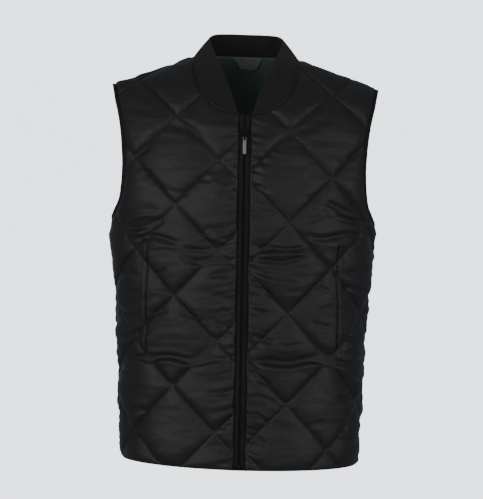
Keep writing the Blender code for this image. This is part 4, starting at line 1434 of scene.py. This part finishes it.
def make_collar():
    """The rib-knit band with its folded top edge, and the corded neck seam."""
    trim = bpy.context.scene.vest_trim
    starts, outs, run = neck_stations(COLLAR_STEP)
    share = run / run[-1]
    knots = column(COLLAR, COLLAR_COLUMNS, "share")
    columns = [column(COLLAR, COLLAR_COLUMNS, name) for name in "xyz"]
    tops = np.stack([smooth(share, knots, values) for values in columns], axis=1)
    tops[0, 0] = ZIP_HALF + GAP
    rise = tops - starts
    tall = np.linalg.norm(rise, axis=1)
    face = unit(np.cross(rise, unit(np.gradient(starts, axis=0))))
    face *= np.sign((face * outs).sum(axis=1))[:, None]
    face = unit(smoothed(face, 12))
    ribs = round(run[-1] / trim.rib_pitch)
    phase = 2 * math.pi * ribs * share
    full = np.minimum(1, tall / RIB_FULL)
    rib = trim.rib_height * full * (np.abs(np.cos(phase / 2)) ** 0.7 - 0.5)
    bulge = COLLAR_BULGE * np.minimum(1, tall / COLLAR_FULL)
    ease_in = wave_noise(run, run * 0, 0.045, 1.0, 51) * 0.0009
    lifts = np.linspace(0, 1, COLLAR_ROWS)

    def row(t, out, grain):
        middle = starts + rise * t + face * (bulge * math.sin(math.pi * t) + ease_in * t)[:, None]
        lean = outs if t == 0 else face
        return middle + lean * (out + rib * grain)[:, None]

    rows = [row(t * COLLAR_TURN, COLLAR_THICK, 1.0 if t > 0 else 0.3) for t in lifts]
    for k in range(1, COLLAR_FOLD_POINTS + 1):
        turn = math.pi * k / (COLLAR_FOLD_POINTS + 1)
        lift = COLLAR_TURN + (1 - COLLAR_TURN) * math.sin(turn)
        rows.append(row(lift, COLLAR_THICK * (0.5 + 0.5 * math.cos(turn)), math.cos(turn)))
    rows += [row(t * COLLAR_TURN, 0.0, -1.0 if t > 0 else 0.0) for t in lifts[::-1]]
    half = np.stack(rows, axis=1)
    fold = np.full(COLLAR_FOLD_POINTS, 1.02)
    measure = np.concatenate([lifts, fold, 2.05 - lifts[::-1]]) * COLLAR_TALL
    cloth = measures(run[:, None], measure[None])
    rings = np.vstack([half, half[:-1][::-1] * [-1, 1, 1]])
    cloth = np.vstack([cloth, cloth[:-1][::-1] * [-1, 1] + [2 * run[-1], 0]])
    item = rings_mesh("collar_rib", rings, cloth)
    wear_of(item, "rib")
    on_garment(item, "rib_knit", "collar")
    make_neck_cord()


def make_neck_cord():
    """The rolled seam allowance that stands up as a thin cord along the neck seam."""
    starts, outs, run = neck_stations(0.0022)
    fade = np.clip((run - 0.004) / 0.014, 0, 1)
    middle = starts + outs * (SEAM_CORD_OUT - 0.0012 * (1 - fade))[:, None]
    middle = np.vstack([middle, middle[:-1][::-1] * [-1, 1, 1]])
    outs = np.vstack([outs, outs[:-1][::-1] * [-1, 1, 1]])
    fade = np.concatenate([fade, fade[:-1][::-1]])
    way = unit(np.gradient(middle, axis=0))
    side = unit(np.cross(way, outs))
    turns = np.linspace(0, 2 * math.pi, 8, endpoint=False)
    size = SEAM_CORD * (0.15 + 0.85 * fade)
    rings = np.stack([
        middle + (outs * math.cos(a) * 0.8 + side * math.sin(a) * 1.25) * size[:, None]
        for a in turns
    ], axis=1)
    cloth = measures(run_along(middle)[:, None], turns[None] * SEAM_CORD)
    item = rings_mesh("neck_seam_cord", rings, cloth)
    wear_of(item, "satin")
    on_garment(item, "shell_satin")


def make_binding(side_name, side):
    """The binding strip folded over an armhole's edge, with its row of stitches."""
    rings, mids, outs = [], [], []
    turns = np.linspace(0, 2 * math.pi, BINDING_POINTS, endpoint=False)
    count = 0
    for shell in (FRONT, BACK):
        line = in_steps(armhole_line, shell, EDGE_STEP)
        inward = armhole_inward(shell, line)
        if shell is BACK:
            line, inward = line[::-1][1:-1], inward[::-1][1:-1]
        long = (count + np.arange(len(line))) * EDGE_STEP
        count += len(line)
        thick = BINDING_THICK / 2 + 0.0004 * wave_noise(long, 0 * long, 0.011, 1.0, 71)
        ring = []
        for turn in turns:
            reach = 0.5 + 0.5 * math.cos(turn)
            bow = np.sign(math.sin(turn)) * abs(math.sin(turn)) ** 0.6
            base, out = shell.stand(line + inward * (BINDING_WIDE + BINDING_LAP) * reach)
            ring.append(base + out * (WALL * BINDING_SEAT + bow * thick)[:, None])
        rings.append(np.stack(ring, axis=1))
        base, out = shell.stand(line + inward * BINDING_STITCH_IN)
        mids.append(base + out * (WALL * BINDING_SEAT + BINDING_THICK / 2 * 0.80))
        outs.append(out)
    flip = [side, 1, 1]
    cloth = measures(EDGE_STEP * np.arange(count)[:, None], turns[None] / (2 * math.pi) * 0.020)
    node = "armhole_binding_" + side_name
    item = rings_mesh(node + "_tape", np.vstack(rings) * flip, cloth, True)
    wear_of(item, "binding")
    on_garment(item, "binding_tape", node)
    mids, outs = np.vstack(mids) * flip, np.vstack(outs) * flip
    ways = unit(np.roll(mids, -1, axis=0) - np.roll(mids, 1, axis=0))
    stitches("armhole_stitches_" + side_name, mids, ways, outs, TRIM_STITCH_SIZE, 5)


def make_pocket(side_name):
    """The narrow welt along the slit, and a bar tack at each end."""
    panel = panel_of("front_" + side_name)
    ups = between(POCKET_LOW, POCKET_HIGH, EDGE_STEP)
    middle = panel.pocket_line(ups)
    acrosses = np.array([-1.0, -0.95, -0.7, -0.3, 0.1, 0.5, 0.85, 0.97, 1.0]) * WELT_HALF
    highs = np.array([0.0, 0.75, 1.0, 1.05, 1.0, 1.0, 0.95, 0.6, 0.0])
    offs = np.concatenate([acrosses, acrosses[::-1]])
    lifts = np.concatenate([WELT_OUT * highs + 0.0002, np.full(len(acrosses), -0.0008)])
    rings = np.stack([
        panel.face(np.stack([middle + off, ups], axis=1), lift) for off, lift in zip(offs, lifts)
    ], axis=1)
    cloth = measures(offs[None], ups[:, None])
    item = rings_mesh("pocket_welt_" + side_name + "_cloth", rings, cloth)
    wear_of(item, "satin")
    on_garment(item, "shell_satin", "pocket_welt_" + side_name)
    spots, ways = [], []
    for end in (POCKET_LOW + 0.002, POCKET_HIGH - 0.002):
        for k in range(TACK_COUNT):
            up = end + (k - TACK_COUNT // 2) * TACK_STEP
            across = float(panel.pocket_line(np.array([up]))[0])
            spots.append((across, up))
            ways.append((1.0, 0.12 if k % 2 else -0.12))
    for off in (-WELT_HALF - 0.0012, WELT_HALF + 0.0012):
        for up, across in zip(ups, middle):
            spots.append((across + off, up))
            ways.append((0.0, 1.0))
    spots, ways = np.array(spots), np.array(ways)
    n = 2 * TACK_COUNT
    lay_stitches("pocket_tacks_" + side_name, panel, spots[:n], ways[:n], TACK_SIZE, 7,
                 WELT_OUT + 0.0002)
    lay_stitches("pocket_stitches_" + side_name, panel, spots[n:], ways[n:], TRIM_STITCH_SIZE, 8)


def make_zip_tape(side_name, side):
    """A woven tape: rolled at the zip's middle and flat under the front's edge."""
    ups = between(HEM, TAPE_TOP, ZIP_STEP)
    acrosses = np.linspace(0, 1, TAPE_POINTS)
    low, high = [], []
    for t in acrosses:
        across = np.full(len(ups), TAPE_INNER + (TAPE_OUTER - TAPE_INNER) * t)
        base = FRONT.place(across, ups)
        out = FRONT.normal(across * 0, ups)
        roll = TAPE_ROLL * math.exp(-((t - 0.16) / 0.16) ** 2)
        groove = TAPE_GROOVE * math.exp(-((t - 0.42) / 0.06) ** 2)
        wave = TAPE_WAVE * wave_noise(ups, across, 0.016, 0.02, 61)
        end = 0.55 if t in (0.0, 1.0) else 1.0
        rise = TAPE_LOW + (TAPE_HIGH + roll - groove - TAPE_LOW) * end + wave
        low.append(base + out * TAPE_LOW)
        high.append(base + out * rise[:, None])
    rings = np.stack(low + high[::-1], axis=1) * [side, 1, 1]
    width = np.concatenate([acrosses, acrosses[::-1]]) * (TAPE_OUTER - TAPE_INNER)
    cloth = measures(width[None], ups[:, None])
    item = rings_mesh("zip_tape_" + side_name + "_cloth", rings, cloth)
    wear_of(item, "tape")
    on_garment(item, "zip_tape_weave", "zip_tape_" + side_name)


def make_zip_teeth():
    """The coil seen through the gap: a small bar for each turn, on either side by turns."""
    ups = np.arange(HEM + 0.0012, TEETH_TOP, TOOTH_PITCH / 2)
    side = np.where(np.arange(len(ups)) % 2 == 0, 1.0, -1.0)
    base, out = FRONT.stand(np.stack([ups * 0, ups], axis=1))
    spots = base + out * 0.0008
    spots[:, 0] = side * 0.0011
    runs = np.stack([side, side * 0, ups * 0 + 0.25], axis=1)
    stitches("zip_teeth", spots, unit(runs), out, TOOTH_SIZE, 9, "coil")


def bevelled(node, name, width, segments, material_name, body):
    """A copy of a solid with its edges rounded off."""
    item = place_in_scene(name, frame["nodes"][node].data.copy())
    work = bmesh.new()
    work.from_mesh(item.data)
    bmesh.ops.remove_doubles(work, verts=work.verts, dist=1e-6)
    bmesh.ops.dissolve_limit(work, angle_limit=0.02, verts=work.verts, edges=work.edges)
    sharp = [e for e in work.edges if e.calc_face_angle(0) > 0.5]
    bmesh.ops.bevel(work, geom=sharp, offset=width, segments=segments, profile=0.6, affect="EDGES",
                    clamp_overlap=True)
    work.to_mesh(item.data)
    work.free()
    shade_smooth(item.data)
    wear_of(item, material_name)
    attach(item, body)
    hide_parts(node)


def make_label():
    """A plain satin label that hangs in the back neck with a soft wave."""
    top = neck_line(BACK, 30)[0, 1] - LABEL_START
    ts = np.linspace(0, 1, 16)
    us = np.linspace(-1, 1, 30)
    near, far = [], []
    for t in ts:
        half = LABEL_TOP_HALF + (LABEL_FOOT_HALF - LABEL_TOP_HALF) * t ** 1.3
        shift = LABEL_SHIFT + (LABEL_FOOT_SHIFT - LABEL_SHIFT) * t
        across = shift + half * us
        ups = top - LABEL_TALL * t + LABEL_CURL * t * us**2
        base, out = BACK.stand(np.stack([across, ups], axis=1))
        swing = LABEL_CLEAR + LABEL_SWING * t + LABEL_WAVE * t * np.sin(us * 5 + 1)
        near.append(base - out * swing[:, None])
        far.append(base - out * (swing + LABEL_THICK)[:, None])
    rings = np.stack([np.vstack([a, b[::-1]]) for a, b in zip(near, far)])
    width = np.concatenate([us, us[::-1]]) * LABEL_TOP_HALF
    cloth = measures(width[None], ts[:, None] * LABEL_TALL)
    item = rings_mesh("neck_label_satin", rings, cloth)
    wear_of(item, "label")
    on_garment(item, "label_satin", "neck_label")
    spots = far[1][2:-2:2]
    runs = np.repeat([[1.0, 0.0, 0.0]], len(spots), axis=0)
    facing = np.repeat([[0.0, -1.0, 0.0]], len(spots), axis=0)
    stitches("neck_label_stitches", spots, runs, facing, TRIM_STITCH_SIZE, 4)


def sag(points):
    """How far the soft shoulders hang below the plain shell, most halfway to the armholes."""
    off = np.abs(points[:, 0])
    across = ease((off - 0.045) / 0.050) * ease((0.220 - 0.15 * points[:, 0] - off) / 0.050)
    return SHOULDER_SAG * across * ease((points[:, 2] + 0.13) / 0.11)


def lean_all():
    """The vest hangs a little lower on the wearer's left, as in the photo."""
    still = ("studio_floor", "zip_pull_metal")
    for item in bpy.data.objects:
        if item.type != "MESH" or item.get("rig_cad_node") or item.name in still:
            continue
        count = len(item.data.vertices)
        points = np.empty(count * 3, np.float32)
        item.data.vertices.foreach_get("co", points)
        points = points.reshape(-1, 3)
        points[:, 2] -= LEAN * points[:, 0] + sag(points)
        item.data.vertices.foreach_set("co", points.ravel())
        item.data.update()


# Lights: name, place, size and colour. The setting of the same name has the power.
LIGHTS = (
    ("key", (-3.0, -4.3, 0.35), (4.0, 2.6), (1.0, 0.99, 0.98)),
    ("fill", (3.4, -3.7, 0.1), (3.0, 2.6), (0.97, 0.98, 1.0)),
    ("top", (0.0, 0.1, 2.3), (2.2, 1.2), (1.0, 1.0, 1.0)),
    ("front", (0.0, -6.0, 0.3), (2.0, 1.2), (1.0, 1.0, 1.0)),
    ("back", (-1.2, 5.4, -0.3), (3.2, 3.0), (1.0, 1.0, 1.0)),
)
LIGHT_AIM = (0.0, 0.0, -0.34)
FLOOR_DROP = 0.16
FLOOR_REACH = 12.0
WALL_BEND = 3.0
WALL_TOP = 14.0


def area_light(name, place, size, power, colour):
    lamp = bpy.data.lights.new(name, "AREA")
    lamp.shape = "RECTANGLE"
    lamp.size, lamp.size_y = size
    lamp.energy = power
    lamp.color = colour
    item = place_in_scene(name, lamp)
    item.location = place
    item.rotation_euler = (Vector(LIGHT_AIM) - Vector(place)).to_track_quat("-Z", "Y").to_euler()


def make_stage():
    """A plain pale floor that curves up to a wall all round, soft lights and the camera."""
    view = bpy.context.scene.vest_view
    turns = np.linspace(0, math.pi / 2, 10)
    floor = HEM - FLOOR_DROP
    profile = [(0.02, floor), (3.0, floor), (10.0, floor)]
    profile += [(FLOOR_REACH + WALL_BEND * math.sin(a), floor + WALL_BEND - WALL_BEND * math.cos(a))
                for a in turns]
    profile += [(FLOOR_REACH + WALL_BEND, WALL_TOP)]
    around = np.linspace(0, 2 * math.pi, 64, endpoint=False)
    points = [(r * math.cos(a), r * math.sin(a), z) for r, z in profile for a in around]
    n = len(around)
    faces = [(i * n + k, i * n + (k + 1) % n, (i + 1) * n + (k + 1) % n, (i + 1) * n + k)
             for i in range(len(profile) - 1) for k in range(n)]
    mesh = bpy.data.meshes.new("studio_floor")
    mesh.from_pydata(points, [], faces)
    shade_smooth(mesh)
    item = place_in_scene("studio_floor", mesh)
    paint, nodes, shader = start_material("studio_paint")
    wear = use_group(nodes, "Handling", Size=0.4).outputs
    nodes.give(shader, {
        "Emission Color": toned(nodes, view.floor_colour, wear["Tone"], 0.03),
        "Emission Strength": view.wall,
        "Base Color": (0.1, 0.1, 0.1, 1.0),
        "Roughness": 0.9,
    })
    mesh.materials.append(paint)
    # the vest isn't lit or mirrored by the pale floor, as if it stood far in front of it
    item.visible_diffuse = False
    item.visible_glossy = False
    world = bpy.data.worlds.new("studio_air")
    world.use_nodes = True
    back = world.node_tree.nodes["Background"]
    back.inputs["Color"].default_value = (*view.air_colour, 1)
    back.inputs["Strength"].default_value = view.air
    bpy.context.scene.world = world
    for name, place, size, colour in LIGHTS:
        area_light(name + "_light", place, size, getattr(view, name), colour)
    make_camera(view)


def make_camera(view):
    lens = bpy.data.cameras.new("camera")
    lens.lens = view.lens
    lens.sensor_width = 36.0
    item = place_in_scene("camera", lens)
    target = Vector((view.aim_x, 0.0, view.aim_z))
    rise = view.elevation
    place = target + view.distance * Vector((0.0, -math.cos(rise), math.sin(rise)))
    item.location = place
    turn = (target - place).to_track_quat("-Z", "Y").to_matrix().to_4x4()
    item.rotation_euler = (turn @ Matrix.Rotation(view.roll, 4, "Z")).to_euler()
    bpy.context.scene.camera = item


LENGTH = {"subtype": "DISTANCE", "unit": "LENGTH"}
SHARE = {"min": 0.0, "max": 1.0, "subtype": "FACTOR"}
COLOUR = {"size": 3, "min": 0.0, "max": 1.0, "subtype": "COLOR"}


class VestQuilt(bpy.types.PropertyGroup):
    """Sizes and colour of the quilted cloth"""

    diamond_wide: bpy.props.FloatProperty(
        name="Diamond width", description="From one crossing to the next across the cloth",
        default=0.146, min=0.02, **LENGTH)
    diamond_tall: bpy.props.FloatProperty(
        name="Diamond height", description="From one crossing to the next up the cloth",
        default=0.153, min=0.02, **LENGTH)
    puff: bpy.props.FloatProperty(
        name="Puff", description="How far the wadding lifts the middle of a diamond",
        default=0.0055, min=0.0, **LENGTH)
    pucker: bpy.props.FloatProperty(
        name="Puckers", description="Depth of the small puckers at stitched lines and edges",
        default=1.2, min=0.0, subtype="FACTOR")
    crumple: bpy.props.FloatProperty(
        name="Creases", description="Depth of the creases and soft waves of the cloth",
        default=1.2, min=0.0, subtype="FACTOR")
    colour: bpy.props.FloatVectorProperty(
        name="Cloth colour", description="Colour of the satin",
        default=(0.0135, 0.0135, 0.0140), **COLOUR)
    roughness: bpy.props.FloatProperty(
        name="Roughness", description="How far the sheen is spread",
        default=0.52, **SHARE)
    gloss: bpy.props.FloatProperty(
        name="Gloss", description="Strength of the satin's reflection",
        default=0.42, **SHARE)
    sheen: bpy.props.FloatProperty(
        name="Sheen", description="Light that the nap catches at a low angle",
        default=0.02, **SHARE)


class VestTrim(bpy.types.PropertyGroup):
    """Sizes and colours of the rib band and the label"""

    rib_pitch: bpy.props.FloatProperty(
        name="Rib pitch", description="From one rib to the next along the neck seam",
        default=0.0026, min=0.001, **LENGTH)
    rib_height: bpy.props.FloatProperty(
        name="Rib height", description="How far a rib stands above the groove beside it",
        default=0.0007, min=0.0, **LENGTH)
    rib_colour: bpy.props.FloatVectorProperty(
        name="Rib colour", description="Colour of the rib knit",
        default=(0.0165, 0.0163, 0.0160), **COLOUR)
    label_colour: bpy.props.FloatVectorProperty(
        name="Label colour", description="Colour of the plain label",
        default=(0.165, 0.178, 0.174), **COLOUR)


class VestView(bpy.types.PropertyGroup):
    """Camera, lights and floor"""

    lens: bpy.props.FloatProperty(
        name="Lens", description="Focal length of the camera in millimetres",
        default=424.4, min=10.0)
    distance: bpy.props.FloatProperty(
        name="Distance", description="From the camera to the vest",
        default=10.0, min=0.5, **LENGTH)
    elevation: bpy.props.FloatProperty(
        name="Elevation", description="How far the camera looks down",
        default=math.radians(2.0), subtype="ANGLE", unit="ROTATION")
    roll: bpy.props.FloatProperty(
        name="Roll", description="How far the camera leans to its side",
        default=math.radians(1.0), subtype="ANGLE", unit="ROTATION")
    aim_x: bpy.props.FloatProperty(
        name="Aim across", description="Where the camera looks, across",
        default=-0.0021, **LENGTH)
    aim_z: bpy.props.FloatProperty(
        name="Aim height", description="Where the camera looks, up",
        default=-0.3264, **LENGTH)
    key: bpy.props.FloatProperty(
        name="Key light", description="Power of the main light", default=77.0, min=0.0)
    fill: bpy.props.FloatProperty(
        name="Fill light", description="Power of the light from the other side",
        default=52.0, min=0.0)
    top: bpy.props.FloatProperty(
        name="Top light", description="Power of the light from above", default=1.0, min=0.0)
    front: bpy.props.FloatProperty(
        name="Front light", description="Power of the weak light into the neck",
        default=11.0, min=0.0)
    back: bpy.props.FloatProperty(
        name="Back light", description="Power of the light on the back", default=9.0, min=0.0)
    wall: bpy.props.FloatProperty(
        name="Backdrop light", description="How bright the floor and backdrop are",
        default=3.1, min=0.0)
    air: bpy.props.FloatProperty(
        name="Air light", description="Strength of the light from all round", default=0.22, min=0.0)
    air_colour: bpy.props.FloatVectorProperty(
        name="Air colour", description="Colour of the light from all round",
        default=(0.90, 0.94, 1.0), **COLOUR)
    floor_colour: bpy.props.FloatVectorProperty(
        name="Floor colour", description="Colour of the floor and backdrop",
        default=(0.785, 0.82, 0.88), **COLOUR)


class VEST_OT_panels(bpy.types.Operator):
    """Make the two quilted fronts and the back"""

    bl_idname = "vest.panels"
    bl_label = "Quilted panels"

    def execute(self, context):
        for name in ("front_right", "front_left", "back"):
            make_panel(name)
        return {"FINISHED"}


class VEST_OT_collar(bpy.types.Operator):
    """Make the rib-knit collar and its seam"""

    bl_idname = "vest.collar"
    bl_label = "Rib collar"

    def execute(self, context):
        make_collar()
        return {"FINISHED"}


class VEST_OT_bindings(bpy.types.Operator):
    """Make the bindings of the two armholes"""

    bl_idname = "vest.bindings"
    bl_label = "Armhole bindings"

    def execute(self, context):
        make_binding("right", -1)
        make_binding("left", 1)
        return {"FINISHED"}


class VEST_OT_pockets(bpy.types.Operator):
    """Make the two slit pockets with their tacks"""

    bl_idname = "vest.pockets"
    bl_label = "Pockets"

    def execute(self, context):
        make_pocket("right")
        make_pocket("left")
        return {"FINISHED"}


class VEST_OT_zip(bpy.types.Operator):
    """Make the zip's tapes, teeth, slider, pull tab and box"""

    bl_idname = "vest.zip"
    bl_label = "Zip"

    def execute(self, context):
        make_zip_tape("right", -1)
        make_zip_tape("left", 1)
        make_zip_teeth()
        bevelled("zip_slider", "zip_slider_metal", 0.00045, 3, "slider", "garment")
        bevelled("zip_pull", "zip_pull_metal", 0.00080, 4, "pull", "pull_tab")
        bevelled("zip_box", "zip_box_metal", 0.00050, 3, "slider", "garment")
        wear_of(frame["nodes"]["zip_coil"], "coil")
        return {"FINISHED"}


class VEST_OT_label(bpy.types.Operator):
    """Make the plain label in the back neck"""

    bl_idname = "vest.label"
    bl_label = "Neck label"

    def execute(self, context):
        make_label()
        return {"FINISHED"}


class VEST_OT_stage(bpy.types.Operator):
    """Make the floor, the lights and the camera"""

    bl_idname = "vest.stage"
    bl_label = "Stage"

    def execute(self, context):
        make_stage()
        return {"FINISHED"}


class VEST_PT_sidebar(bpy.types.Panel):
    """Lists the vest's pieces and sizes"""

    bl_idname = "VEST_PT_sidebar"
    bl_label = "Quilted vest"
    bl_space_type = "VIEW_3D"
    bl_region_type = "UI"
    bl_category = "Vest"

    def draw(self, context):
        layout = self.layout
        for group in GROUP_PROPERTIES:
            box = layout.box()
            settings = getattr(context.scene, group)
            for name in settings.bl_rna.properties.keys():
                if name not in ("rna_type", "name"):
                    box.prop(settings, name)
        for operator in OPERATORS:
            layout.operator(operator.bl_idname)


GROUP_PROPERTIES = {"vest_quilt": VestQuilt, "vest_trim": VestTrim, "vest_view": VestView}
OPERATORS = (VEST_OT_panels, VEST_OT_collar, VEST_OT_bindings, VEST_OT_pockets, VEST_OT_zip,
             VEST_OT_label, VEST_OT_stage)
CLASSES = (*GROUP_PROPERTIES.values(), *OPERATORS, VEST_PT_sidebar)


def register():
    for item in CLASSES:
        bpy.utils.register_class(item)
    for name, group in GROUP_PROPERTIES.items():
        setattr(bpy.types.Scene, name, bpy.props.PointerProperty(type=group))


def unregister():
    for name in GROUP_PROPERTIES:
        delattr(bpy.types.Scene, name)
    for item in reversed(CLASSES):
        bpy.utils.unregister_class(item)


def main():
    register()
    bpy.ops.vest.panels()
    bpy.ops.vest.collar()
    bpy.ops.vest.bindings()
    bpy.ops.vest.pockets()
    bpy.ops.vest.zip()
    bpy.ops.vest.label()
    bpy.ops.vest.stage()
    lean_all()


if __name__ == "__main__":
    main()
